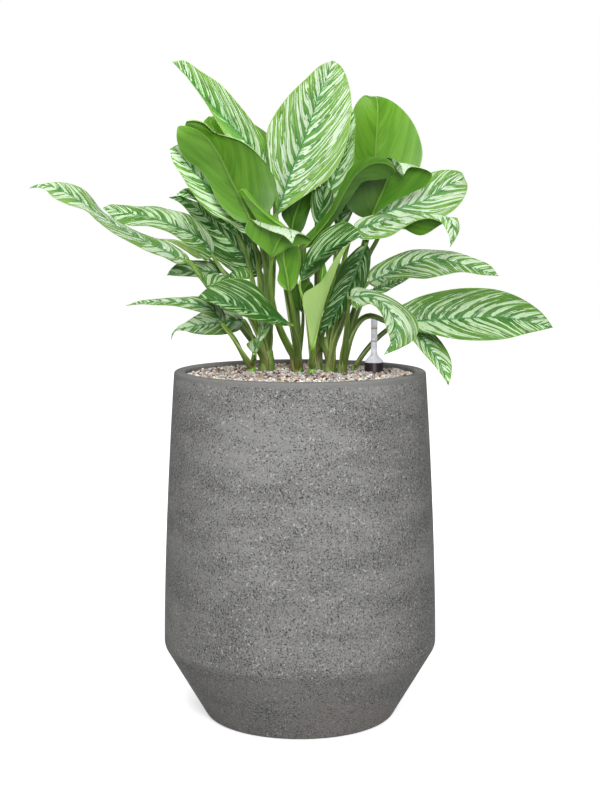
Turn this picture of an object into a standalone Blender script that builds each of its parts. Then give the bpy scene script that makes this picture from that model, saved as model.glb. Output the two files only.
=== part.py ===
"""Potted chinese evergreen: a tall round planter of cast stone, filled with granulate, that holds a plant of
several leafy shoots and a water level gauge.

Metres, +Z up, the centre of the planter's base at the origin, the front toward -Y. Sizes are in millimetres.

The leaves and stalks are read by eye from one view. Each of their points has the column and the row where it
shows in that view, and how far it stands toward the viewer from the plane through the planter's axis.
"""

import math
import random
from dataclasses import dataclass

import bmesh
import bpy
from mathutils import Vector

MM = 0.001
GAP = 0.3

# Planter
PLANTER_HEIGHT = 540.0
PLANTER_RIM_RADIUS = 193.4
PLANTER_KNEE_RADIUS = 212.0
PLANTER_KNEE_HEIGHT = 114.0
PLANTER_FOOT_RADIUS = 145.0
PLANTER_WALL = 18.0
PLANTER_FLOOR = 20.0
PLANTER_TAPER_POWER = 1.6
PLANTER_SIDES = 40
WALL_STEPS = 4
INNER_KNEE_LIFT = 4.0
KNEE_ROUNDING = 24.0
FOOT_ROUNDING = 13.0
RIM_ROUNDING = 4.0

# Granulate and what stands in it
GRANULATE_LEVEL = 535.0
GRANULATE_BUMP = 2.4
GRANULATE_RINGS = 8
LEVEL_BAND = 1.0
EDGE_BAND = 1.0
CANE_FOOT = 450.0
CANE_SIDES = 10
CROWN_LIFT = 6.0
CANE_TAPER = 0.8
CANE_DOME = 0.4
HOLE_CLEARANCE = 0.5
HOLE_REACH = 40.0

# Water level gauge
GAUGE_X = 116.0
GAUGE_Y = 40.0
PIPE_RADIUS = 14.7
PIPE_WALL = 1.8
PIPE_FOOT = 60.0
PIPE_TOP = 548.0
PIPE_FLOOR = 3.0
SLOT_REACH = 44.0
SLOT_LIFT = 6.0
SLOT_WIDTH = 3.0
SLOT_HEIGHT = 25.0
TUBE_RADIUS = 5.0
TUBE_WALL = 1.0
TUBE_TOP = 622.0
TUBE_CROWN = 1.5
COLLAR_LIP = 1.0
COLLAR_HEIGHT = 2.0
CONE_TOP = 560.0
FLOAT_RADIUS = 11.0
FLOAT_HEIGHT = 60.0
FLOAT_SLOPE = 6.0
ROD_RADIUS = 1.2
TIP_RADIUS = 2.4
TIP_HEIGHT = 5.0
TIP_FOOT = 558.8
GAUGE_SIDES = 12

# Leaves and their stalks
BLADE_THICKNESS = 0.9
BLADE_CUP = 0.06
BLADE_BASE_HALF = 1.2
BLADE_TIP_HALF = 0.7
BLADE_ROW_LENGTH = 23.0
BLADE_FEWEST_ROWS = 6
BLADE_MOST_ROWS = 11
SIDE_COLUMNS = 2
STALK_SIDES = 6
STALK_STEP = 48.0
STALK_FEWEST_RINGS = 4
NECK_GAP = 0.95
NECK_LENGTH = 4.0
NECK_SHARE = 0.35
SHORTEST = 1e-6

# The view that the plant's points are read in, 600 columns by 800 rows
EYE_DISTANCE = 2382.0
EYE_HEIGHT = 769.0
EYE_PITCH = math.radians(6.6)
COLUMNS_PER_SLOPE = 1552.0
MIDDLE_COLUMN = 300.0
MIDDLE_ROW = 400.0
CANE_ROW = 373.0


@dataclass(frozen=True)
class Blade:
    """A leaf blade by its midrib from base to tip and its two margins, left and right on the upper face.

    A margin's points give how far they stand in front of the midrib, in place of the axis plane.
    """

    rib: tuple
    left: tuple
    right: tuple


@dataclass(frozen=True)
class Stalk:
    """A leaf stalk from the cane to the blade, with its radius at the foot and at the neck."""

    route: tuple
    foot: float
    neck: float


@dataclass(frozen=True)
class Shoot:
    """A cane by its place and the row of its top, with the stalks that grow from it."""

    column: float
    toward: float
    radius: float
    top: float
    stalks: dict


LEAVES = {
    "leaf_upper_left_long": Blade(
        rib=((274, 198, -45), (262, 165, -50), (245, 141, -60), (226, 120, -70), (206, 99, -80),
            (189, 79, -90), (172.5, 62, -100)),
        left=((256, 180, 10), (236, 152, 20), (217, 122, 24), (205, 102, 24), (192, 84, 20),
            (181, 70, 10)),
        right=((277, 172, 10), (268, 146, 20), (254, 124, 24), (240, 106, 24), (220, 84, 20),
            (200, 70.5, 15), (184, 60.5, 5)),
    ),
    "leaf_upper_left_round": Blade(
        rib=((262, 196, -90), (240, 165, -110), (222, 142, -120), (211, 124, -126), (209, 116.5, -135)),
        left=((262, 170, -10), (250, 145, -16), (234, 127, -16), (219, 117, -6)),
        right=((238, 185, -10), (214, 160, -15), (202, 142, -15), (201, 129, -12), (204, 121, -5)),
    ),
    "leaf_left_broad": Blade(
        rib=((251, 222, 35), (243, 203, 40), (232, 182, 50), (219, 155, 65), (207, 138, 75),
            (196, 130, 80), (185, 126, 75)),
        left=((268, 213, -10), (276, 192, -20), (274, 178, -28), (260, 158, -30), (240, 142, -26),
            (215, 134, -18), (197, 127, -8), (188, 123.8, -3)),
        right=((240, 222, -3), (220, 205, -10), (208, 181, -16), (198, 168, -18), (186, 159.5, -16),
            (178.5, 147, -10), (176.5, 134, -5), (178.5, 126, -2)),
    ),
    "leaf_tall_centre": Blade(
        rib=((276, 216, -10), (283, 197, -14), (289, 178, -20), (296, 160, -25), (304, 140, -32),
            (311, 120, -40), (319, 96, -50), (327, 77, -64), (333, 60.5, -80)),
        left=((275.5, 204, 8), (271.5, 178, 16), (267.5, 150, 21), (267, 131, 22), (276, 112, 21),
            (290, 94, 20), (305, 79.5, 15), (320, 66, 7)),
        right=((289, 206.5, 6), (310, 192, 12), (330, 177, 17), (341, 160, 20), (348.5, 135, 22),
            (351.5, 107, 21), (349.5, 87, 16), (342, 67, 6)),
    ),
    "leaf_tall_behind": Blade(
        rib=((320, 216, -55), (328, 195, -60), (338, 170, -70), (345, 145, -80), (349, 125, -90),
            (352, 107, -100)),
        left=((318, 200, 6), (322, 180, 10), (328, 155, 14), (335, 130, 13), (345, 112, 6)),
        right=((330, 208, 5), (345, 190, 10), (353, 165, 14), (355, 140, 13), (355, 118, 6)),
    ),
    "leaf_left_inner": Blade(
        rib=((251, 234, -3), (238, 219, -2), (222, 201, 3), (206, 184, 8), (190, 167, 14),
            (178, 153, 16), (170, 149, 14)),
        left=((243, 233, 5), (230, 223, 10), (211, 213, 14), (200, 203, 16), (189, 188, 16),
            (181, 174.5, 12), (172.5, 161, 6)),
        right=((252, 222, 4), (242, 202, 8), (228, 182, 10), (208, 163, 12), (190, 149, 10),
            (177, 145, 4)),
    ),
    "leaf_left_small_tip": Blade(
        rib=((238, 236, -35), (217, 215, -34), (200, 200, -30), (188, 193, -28), (176.5, 194, -25)),
        left=((225, 228, 6), (207, 212, 10), (195, 200, 9), (184, 197, 4)),
        right=((230, 218, 6), (212, 202, 10), (197, 190, 10), (185, 188.5, 4)),
    ),
    "leaf_left_shaded": Blade(
        rib=((259, 276, -66), (245, 257, -64), (229, 240, -60), (212, 223, -56), (197, 208, -50),
            (183, 200, -46), (169, 197.5, -40)),
        left=((245, 279, 0), (229, 269, -12), (212, 254, -20), (200, 236, -20), (190, 215, -15),
            (180, 203, -3)),
        right=((264, 262, 6), (255, 243, 14), (240, 226, 16), (223, 213, 15), (206, 205.5, 11),
            (190, 199.5, 6), (180, 195.5, 3)),
    ),
    "leaf_left_outer": Blade(
        rib=((213, 256, -60), (206, 243, -60), (190, 233, -60), (172, 225, -56), (150, 217, -52),
            (126, 213, -48), (103, 208, -44)),
        left=((206, 261, 5), (195, 251.5, 10), (182, 241, 15), (167, 231, 18), (150, 226, 19),
            (130, 226, 15), (117, 221.5, 8)),
        right=((214, 245, 6), (205, 227, 12), (190, 215, 5), (172, 210.5, -10), (155, 206.5, -18),
            (138, 207, -17), (122, 205, -12), (110, 204.5, -5)),
    ),
    "leaf_left_outermost": Blade(
        rib=((190, 262, -13), (176, 256, -10), (160, 248, -6), (140, 238.5, 0), (121, 228, 6),
            (105, 218, 11), (92, 209.5, 16), (80, 201, 21), (65, 192.5, 26), (50, 186, 30),
            (38, 184.3, 33), (29, 188, 36)),
        left=((178, 264, 6), (163, 256.5, 15), (147, 250.5, 20), (130, 243, 24), (111, 232, 26),
            (96, 221, 26), (85, 210, 22), (68, 204, 17), (54, 198, 10), (43, 188.5, 3)),
        right=((188, 256, -7), (170, 243.5, -16), (150, 236.5, -22), (130, 228.5, -25), (115, 219, -26),
            (101.5, 208.5, -25), (92, 197.5, -22), (82, 188.5, -18), (66, 183, -11), (50, 183, -5)),
    ),
    "leaf_left_low_shaded": Blade(
        rib=((222, 272, -80), (204, 271, -80), (185, 272, -76), (167, 275, -72)),
        left=((212, 277.5, 8), (195, 277, 11), (180, 276.5, 7)),
        right=((216, 264, -8), (197, 260.5, -11), (180, 262.5, -8), (171, 269, -3)),
    ),
    "leaf_left_narrow": Blade(
        rib=((206, 257.5, -102), (192, 249.5, -102), (175, 241.8, -98), (159, 239, -94)),
        left=((203, 252.5, -6), (189, 244, -9), (174, 239.3, -5)),
        right=((198, 258.5, 6), (185, 250.5, 9), (172, 243.5, 5)),
    ),
    "leaf_front_left": Blade(
        rib=((292, 325, 78), (284, 322, 84), (268, 316, 96), (248, 310, 108), (226, 303.5, 118),
            (210, 299.5, 122), (197, 298, 124)),
        left=((286, 326, 4), (271, 324, 12), (255, 320, 18), (240, 314, 20), (225, 308, 16),
            (210, 302.5, 7)),
        right=((285, 319, -5), (276, 309, -12), (265, 295, -18), (252, 283, -21), (237, 278.5, -21),
            (219, 281.5, -16), (204, 291, -6)),
    ),
    "leaf_front_left_tip_down": Blade(
        rib=((229, 275.5, 45), (227, 276, 65), (225, 279, 83), (224.5, 287.5, 94)),
        left=((240, 270, 2), (243.5, 266.5, 2), (251, 276.5, 3), (234, 279, 1)),
        right=((213, 275.5, 2), (200, 276.5, 2), (207, 286.5, 2), (218, 282, 1)),
    ),
    "leaf_centre_folded": Blade(
        rib=((272, 257, 70), (275.5, 247, 80), (281, 237, 92), (287, 229, 106), (290, 231, 120),
            (292.5, 243.5, 130)),
        left=((280, 253, 1), (290, 247, 1), (303, 244.5, 1), (311.5, 241.5, 1), (303, 235, 3),
            (297, 234, 2)),
        right=((262, 249, 2), (250, 238, 2), (245, 231, 2), (249.5, 219.5, 2), (258, 225.5, 7),
            (271, 231, 5), (284, 235.5, 2)),
    ),
    "leaf_centre_plain": Blade(
        rib=((289, 291, 30), (287, 276, 34), (284, 262, 40), (284, 248, 46), (287, 237, 52)),
        left=((293, 289, -1), (297.5, 281, -5), (300, 268, -8), (301, 256, -10), (297, 243, -8)),
        right=((284, 289, -1), (277.5, 281, -5), (279, 268, -8), (275, 255, -10), (277, 244, -8)),
    ),
    "leaf_young_rolled": Blade(
        rib=((289, 230, 56), (274, 221, 62), (261, 210, 70), (250, 199, 78), (242, 189.5, 86),
            (238, 192, 92)),
        left=((282, 223, -6), (270, 213.5, -12), (260, 206, -13), (251, 195, -10), (244.5, 188.3, -4)),
        right=((274, 226, -6), (259, 221, -12), (250.5, 209.5, -13), (243, 198, -10), (239, 191.5, -3)),
    ),
    "leaf_centre_shaded": Blade(
        rib=((292, 233, -60), (293, 222, -64), (297, 210, -70), (301, 198, -80), (304, 186, -90)),
        left=((301, 232, -3), (308, 216, -7), (312, 200, -9), (310, 190, -5)),
        right=((288, 226, -3), (281.5, 214, -7), (286, 203, -9), (295, 192, -5)),
    ),
    "leaf_centre_pointed": Blade(
        rib=((319, 228, -30), (320, 215, -32), (323, 200, -36), (324, 184, -40)),
        left=((314, 221, 2), (310.5, 206, 5), (313, 192, 4)),
        right=((326, 217, 2), (332, 205, 5), (333, 193, 4)),
    ),
    "leaf_right_shaded": Blade(
        rib=((337, 229, -25), (342, 215, -30), (347, 203, -35), (352, 190, -40)),
        left=((334, 220, 3), (337, 208, 6), (343, 196, 5)),
        right=((345, 226, 3), (352, 214, 6), (356, 200, 5)),
    ),
    "leaf_upper_right": Blade(
        rib=((377, 214, -90), (376, 190, -86), (375.5, 158, -80), (377, 128, -76), (378, 110, -80),
            (376, 98, -92), (371.5, 96.5, -105)),
        left=((394, 206, -4), (413, 182, -12), (422.5, 156, -18), (418, 133, -20), (407, 114, -18),
            (392, 101, -12), (380, 96.8, -4)),
        right=((366, 206, -4), (354, 180, -14), (350, 150, -20), (350, 125, -20), (355, 106, -14),
            (364, 95.5, -4)),
    ),
    "leaf_right_arching": Blade(
        rib=((304, 248, 32), (318, 233, 42), (333, 214, 52), (345, 192, 62), (356, 175, 72),
            (370, 164.5, 81), (384, 163, 90), (393, 167.5, 98), (396, 172, 102)),
        left=((310, 247, -3), (325, 232, -7), (340, 213, -9), (352, 195.5, -10), (363, 182, -12),
            (378, 179.5, -14), (391, 177, -6)),
        right=((303, 240, -3), (314, 227, -8), (330, 209, -12), (341, 186, -15), (352, 167, -15),
            (365, 158.5, -12), (380, 157, -9), (391, 161, -4)),
    ),
    "leaf_right_hooded": Blade(
        rib=((371, 217, -12), (375, 208, -2), (384, 188, 12), (391, 171, 28), (397, 162.5, 44),
            (401, 167, 55), (403, 176, 61)),
        left=((379, 211.5, -1), (393, 202.5, -3), (412, 193, -3), (427, 185, -2), (432, 175, 0),
            (421, 168, 3), (409, 167.5, 2)),
        right=((361, 217, -1), (347, 205, -3), (354, 191, -3), (363, 178, -2), (378, 165, 1),
            (389, 158, 2), (397, 170.5, 2)),
    ),
    "leaf_right_broad": Blade(
        rib=((372, 217, -40), (390, 211, -40), (410, 205.5, -40), (425, 200, -41), (440, 189.5, -44),
            (451, 183, -48), (465, 179, -54)),
        left=((377, 206, -6), (390, 194, -14), (405, 183, -20), (420, 175.5, -20), (437, 171, -16),
            (450, 170, -10), (461.5, 172.5, -3)),
        right=((383, 224, 6), (403, 229, 15), (424, 226, 20), (444, 217, 20), (458, 206.5, 16),
            (465, 196, 9), (467.5, 186, 3)),
    ),
    "leaf_right_overhanging": Blade(
        rib=((352, 231, 15), (365, 226, 20), (385, 220, 28), (405, 216, 38), (425, 214, 48),
            (440, 215, 58), (450, 218.5, 66), (453.5, 231, 70), (450, 247, 73)),
        left=((356, 222, -4), (370, 215.5, -12), (388, 215, -20), (403, 228, -28), (420, 236, -30),
            (441, 225, -20), (456.5, 218, -9), (459.5, 229, -5), (455, 240, -2)),
        right=((361, 239, 5), (376, 239.5, 12), (390, 236.5, 16), (404, 228, 15), (418, 220, 10),
            (430, 217.5, 8), (441, 222, 7), (446.5, 230.5, 4), (450, 240, 1)),
    ),
    "leaf_centre_right": Blade(
        rib=((300, 281, 40), (305, 271, 46), (314, 261, 54), (326, 251.5, 62), (340, 244, 70),
            (351, 239, 77), (361, 236, 82)),
        left=((302, 264, -4), (311, 246, -12), (322, 232, -19), (335, 224.5, -20), (347, 222, -14),
            (356, 228, -5)),
        right=((307, 279, -6), (316, 272, -13), (326, 262, -15), (336, 252, -13), (346, 245, -9),
            (355, 239.5, -3)),
    ),
    "leaf_front_pale": Blade(
        rib=((313, 348, 65), (317, 333, 70), (322, 312, 80), (327, 295, 88), (333, 277, 96),
            (341, 257, 104), (349, 243.5, 110), (358, 236.5, 115)),
        left=((315, 340, -5), (319, 320, -15), (323, 303, -23), (327, 290, -26), (332, 275, -23),
            (339, 258, -15), (348, 244.5, -6)),
        right=((310, 341, -2), (307, 322, -8), (302.5, 304, -14), (304, 293, -18), (313, 287.5, -19),
            (321, 282, -18), (331, 266, -12), (341, 251, -6)),
    ),
    "leaf_front_hanging": Blade(
        rib=((366, 243, 14), (361, 260, 22), (353, 280, 30), (343, 300, 36), (332, 319, 40),
            (320.5, 334, 44)),
        left=((370, 250, 3), (370, 268, 8), (364, 288, 12), (351, 305, 12), (341, 317, 9),
            (331, 328, 4)),
        right=((357, 248, -6), (343, 263, -12), (334, 285, -13), (327, 305, -10), (321, 324, -4)),
    ),
    "leaf_right_middle": Blade(
        rib=((368, 283, -40), (385, 275, -38), (400, 268, -35), (413, 262, -33), (430, 258, -30),
            (450, 261, -25), (475, 268, -20), (498.5, 275.8, -15)),
        left=((370, 270, -10), (385, 259.5, -20), (400, 253.5, -24), (415, 250, -24), (440, 250.5, -22),
            (460, 253.5, -16), (480, 260, -8), (490, 265, -3)),
        right=((375, 287, 8), (390, 280.5, 16), (406, 278, 20), (425, 279, 22), (441, 275, 20),
            (460, 272, 14), (482, 275, 7)),
    ),
    "leaf_right_middle_behind": Blade(
        rib=((372, 290, -75), (385, 286, -95), (397, 282, -120), (409, 278, -150)),
        left=((377, 284, -8), (392, 278, -10), (402, 277, -6)),
        right=((382, 293.5, 8), (393, 288, 10), (403, 282, 5)),
    ),
    "leaf_front_drooping": Blade(
        rib=((350, 298, 80), (362, 296, 88), (376, 299, 98), (387, 307, 106), (394, 319, 112),
            (396, 332, 116), (391, 345, 120), (384, 355, 122)),
        left=((353, 288, -8), (368, 289.5, -14), (387, 296, -15), (403, 306, -14), (416, 318, -10),
            (419, 329, -7), (414, 340, -4), (402, 347.5, -2)),
        right=((354, 308, 6), (362, 306, 10), (370, 303, 12), (376, 306, 12), (382, 315, 10),
            (386, 328, 7), (390, 342, 2)),
    ),
    "leaf_right_outermost": Blade(
        rib=((402, 321, 7), (415, 321, 11), (430, 320, 15), (450, 319, 20), (475, 317.5, 25),
            (500, 316.5, 30), (525, 321, 36), (553, 327.5, 42)),
        left=((397, 309, -4), (408, 302, -10), (422, 295.5, -20), (442, 290.5, -26), (470, 288.3, -30),
            (496, 289.8, -30), (523, 299.5, -20), (542, 312.5, -8)),
        right=((405, 327.5, 5), (416, 330, 10), (430, 334, 18), (450, 338.5, 26), (475, 341, 30),
            (505, 338.5, 26), (530, 333, 16), (545, 329.5, 6)),
    ),
    "leaf_right_low": Blade(
        rib=((414, 328, -30), (424, 341, -20), (434, 354, -10), (442, 367, 0), (448.5, 385.5, 10)),
        left=((424, 328, -6), (436, 335, -12), (445, 347, -16), (451, 362, -12), (451, 376, -5)),
        right=((411, 337, 6), (419, 348.5, 12), (430, 361, 14), (440, 373, 10), (446, 381, 4)),
    ),
    "leaf_left_slender": Blade(
        rib=((223, 325, 40), (218, 316, 48), (210, 308, 56), (195, 304, 65), (175, 302, 75),
            (150, 302, 83), (126, 305.5, 90)),
        left=((217, 321, 4), (207, 315.5, 9), (195, 311, 12), (178, 307, 14), (160, 304.7, 10),
            (142, 303.7, 4)),
        right=((226, 318, -4), (222, 309, -9), (212, 300, -12), (197, 296, -13), (178, 296.8, -12),
            (158, 299.3, -8), (140, 301, -3)),
    ),
    "leaf_left_low": Blade(
        rib=((244, 320, -10), (230, 321, -5), (215, 323, 0), (200, 325, 5), (187, 327.5, 8),
            (178, 329, 10), (172, 333, 14), (171, 340, 16)),
        left=((241, 329, 6), (225, 334.5, 12), (208, 335, 14), (194, 333, 10), (184, 330.5, 5),
            (176, 331, 1)),
        right=((238, 310, -6), (220, 308, -14), (205, 311, -16), (195, 316.5, -12), (186, 322.5, -6),
            (176, 328.2, -1)),
    ),
    "leaf_small_curled": Blade(
        rib=((254, 354, 36), (256, 346, 44), (260, 337, 52), (264, 328, 56), (265.5, 318, 58)),
        left=((250, 350, 3), (246.5, 344, 6), (257, 337.5, 6), (258, 328, 5), (260, 320, 2)),
        right=((258, 351, 0), (261, 342, 2), (268, 332, 4), (270.5, 324, 3)),
    ),
    "leaf_centre_small": Blade(
        rib=((303, 313, 10), (301, 305, 14), (301, 296, 18), (305, 288, 22), (311, 282, 26)),
        left=((305.5, 309, 0), (307, 300, -3), (310, 293, -3), (313.5, 287, -1)),
        right=((298, 309, 0), (291.5, 301, -3), (290.5, 292, -4), (297, 285, -3), (304, 281, -1)),
    ),
    "leaf_young_spear": Blade(
        rib=((322, 290, 16), (321.8, 280, 18), (322.5, 270, 20), (323.5, 258, 23)),
        left=((325, 285, -2), (327, 275, -3), (325.5, 266, -2)),
        right=((320, 284, -2), (319.5, 276, -3), (321.5, 266, -2)),
    ),
    "leaf_back_spear": Blade(
        rib=((268, 192, -70), (267.5, 170, -70), (266.7, 150, -72), (266, 133, -75)),
        left=((266, 181, 5), (265, 162, 7), (265, 145, 5)),
        right=((270, 181, 5), (270, 162, 7), (268.5, 145, 5)),
    ),
    "leaf_back_1": Blade(
        rib=((286, 206, -110), (272, 177, -120), (258, 152, -135), (245, 132, -150), (233, 118, -170)),
        left=((293, 182, -8), (285, 153, -14), (268.5, 134.5, -13), (254, 124, -8), (242, 117, -3)),
        right=((264, 197, -8), (242, 168, -14), (229, 142, -13), (228, 126, -6)),
    ),
    "leaf_back_2": Blade(
        rib=((297, 214, -100), (299, 180, -130), (298, 152, -170), (295, 138, -220), (290, 140, -270),
            (287, 152, -310)),
        left=((313, 193, -5), (320, 166, -10), (320, 147, -10), (315, 136, -10), (303, 142, -5)),
        right=((284, 195, -5), (277, 165, -10), (273, 145, -10), (272, 136, -10), (277, 142, -5)),
    ),
    "leaf_back_3": Blade(
        rib=((347, 216, -100), (361, 182, -140), (374, 152, -185), (385, 137, -230), (396, 136, -280),
            (403, 147, -320)),
        left=((373, 196, -5), (391, 173, -10), (403, 154, -10), (409, 145, -10), (409, 146, -5)),
        right=((349, 193, -5), (357, 160, -10), (366, 136, -10), (381, 121, -10), (396, 127, -5)),
    ),
    "leaf_back_4": Blade(
        rib=((258, 217, -110), (244, 190, -145), (228, 170, -190), (213, 160, -240), (200, 163, -280),
            (193, 173, -310)),
        left=((265, 196, -5), (254, 170, -10), (238, 151, -10), (217, 145, -10), (201, 152, -5)),
        right=((246, 212, -5), (226, 194, -10), (207, 180, -10), (196, 172, -10), (190, 172, -5)),
    ),
    "leaf_back_5": Blade(
        rib=((259, 268, -100), (248, 251, -130), (233, 238, -165), (217, 233, -205), (206, 240, -240)),
        left=((259, 251, -5), (248, 234, -9), (233, 222, -9), (214, 223, -5)),
        right=((252, 266, -5), (235, 254, -9), (217, 246, -9), (206, 243, -5)),
    ),
    "leaf_back_6": Blade(
        rib=((344, 310, -110), (351, 288, -140), (351, 270, -180), (347, 262, -220), (342, 272, -270)),
        left=((355, 296, -5), (364, 280, -9), (364, 264, -9), (355, 258, -5)),
        right=((337, 297, -5), (335, 276, -9), (335, 262, -9), (336, 262, -5)),
    ),
    "leaf_back_7": Blade(
        rib=((318, 180, -120), (320, 150, -160), (321, 122, -200), (322, 104, -250), (323, 100, -290),
            (325, 108, -330)),
        left=((332, 163, -5), (341, 135, -10), (343, 110, -10), (340, 95, -10), (334, 98, -5)),
        right=((307, 165, -5), (301, 138, -10), (300, 112, -10), (305, 100, -10), (314, 101, -5)),
    ),
}

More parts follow.
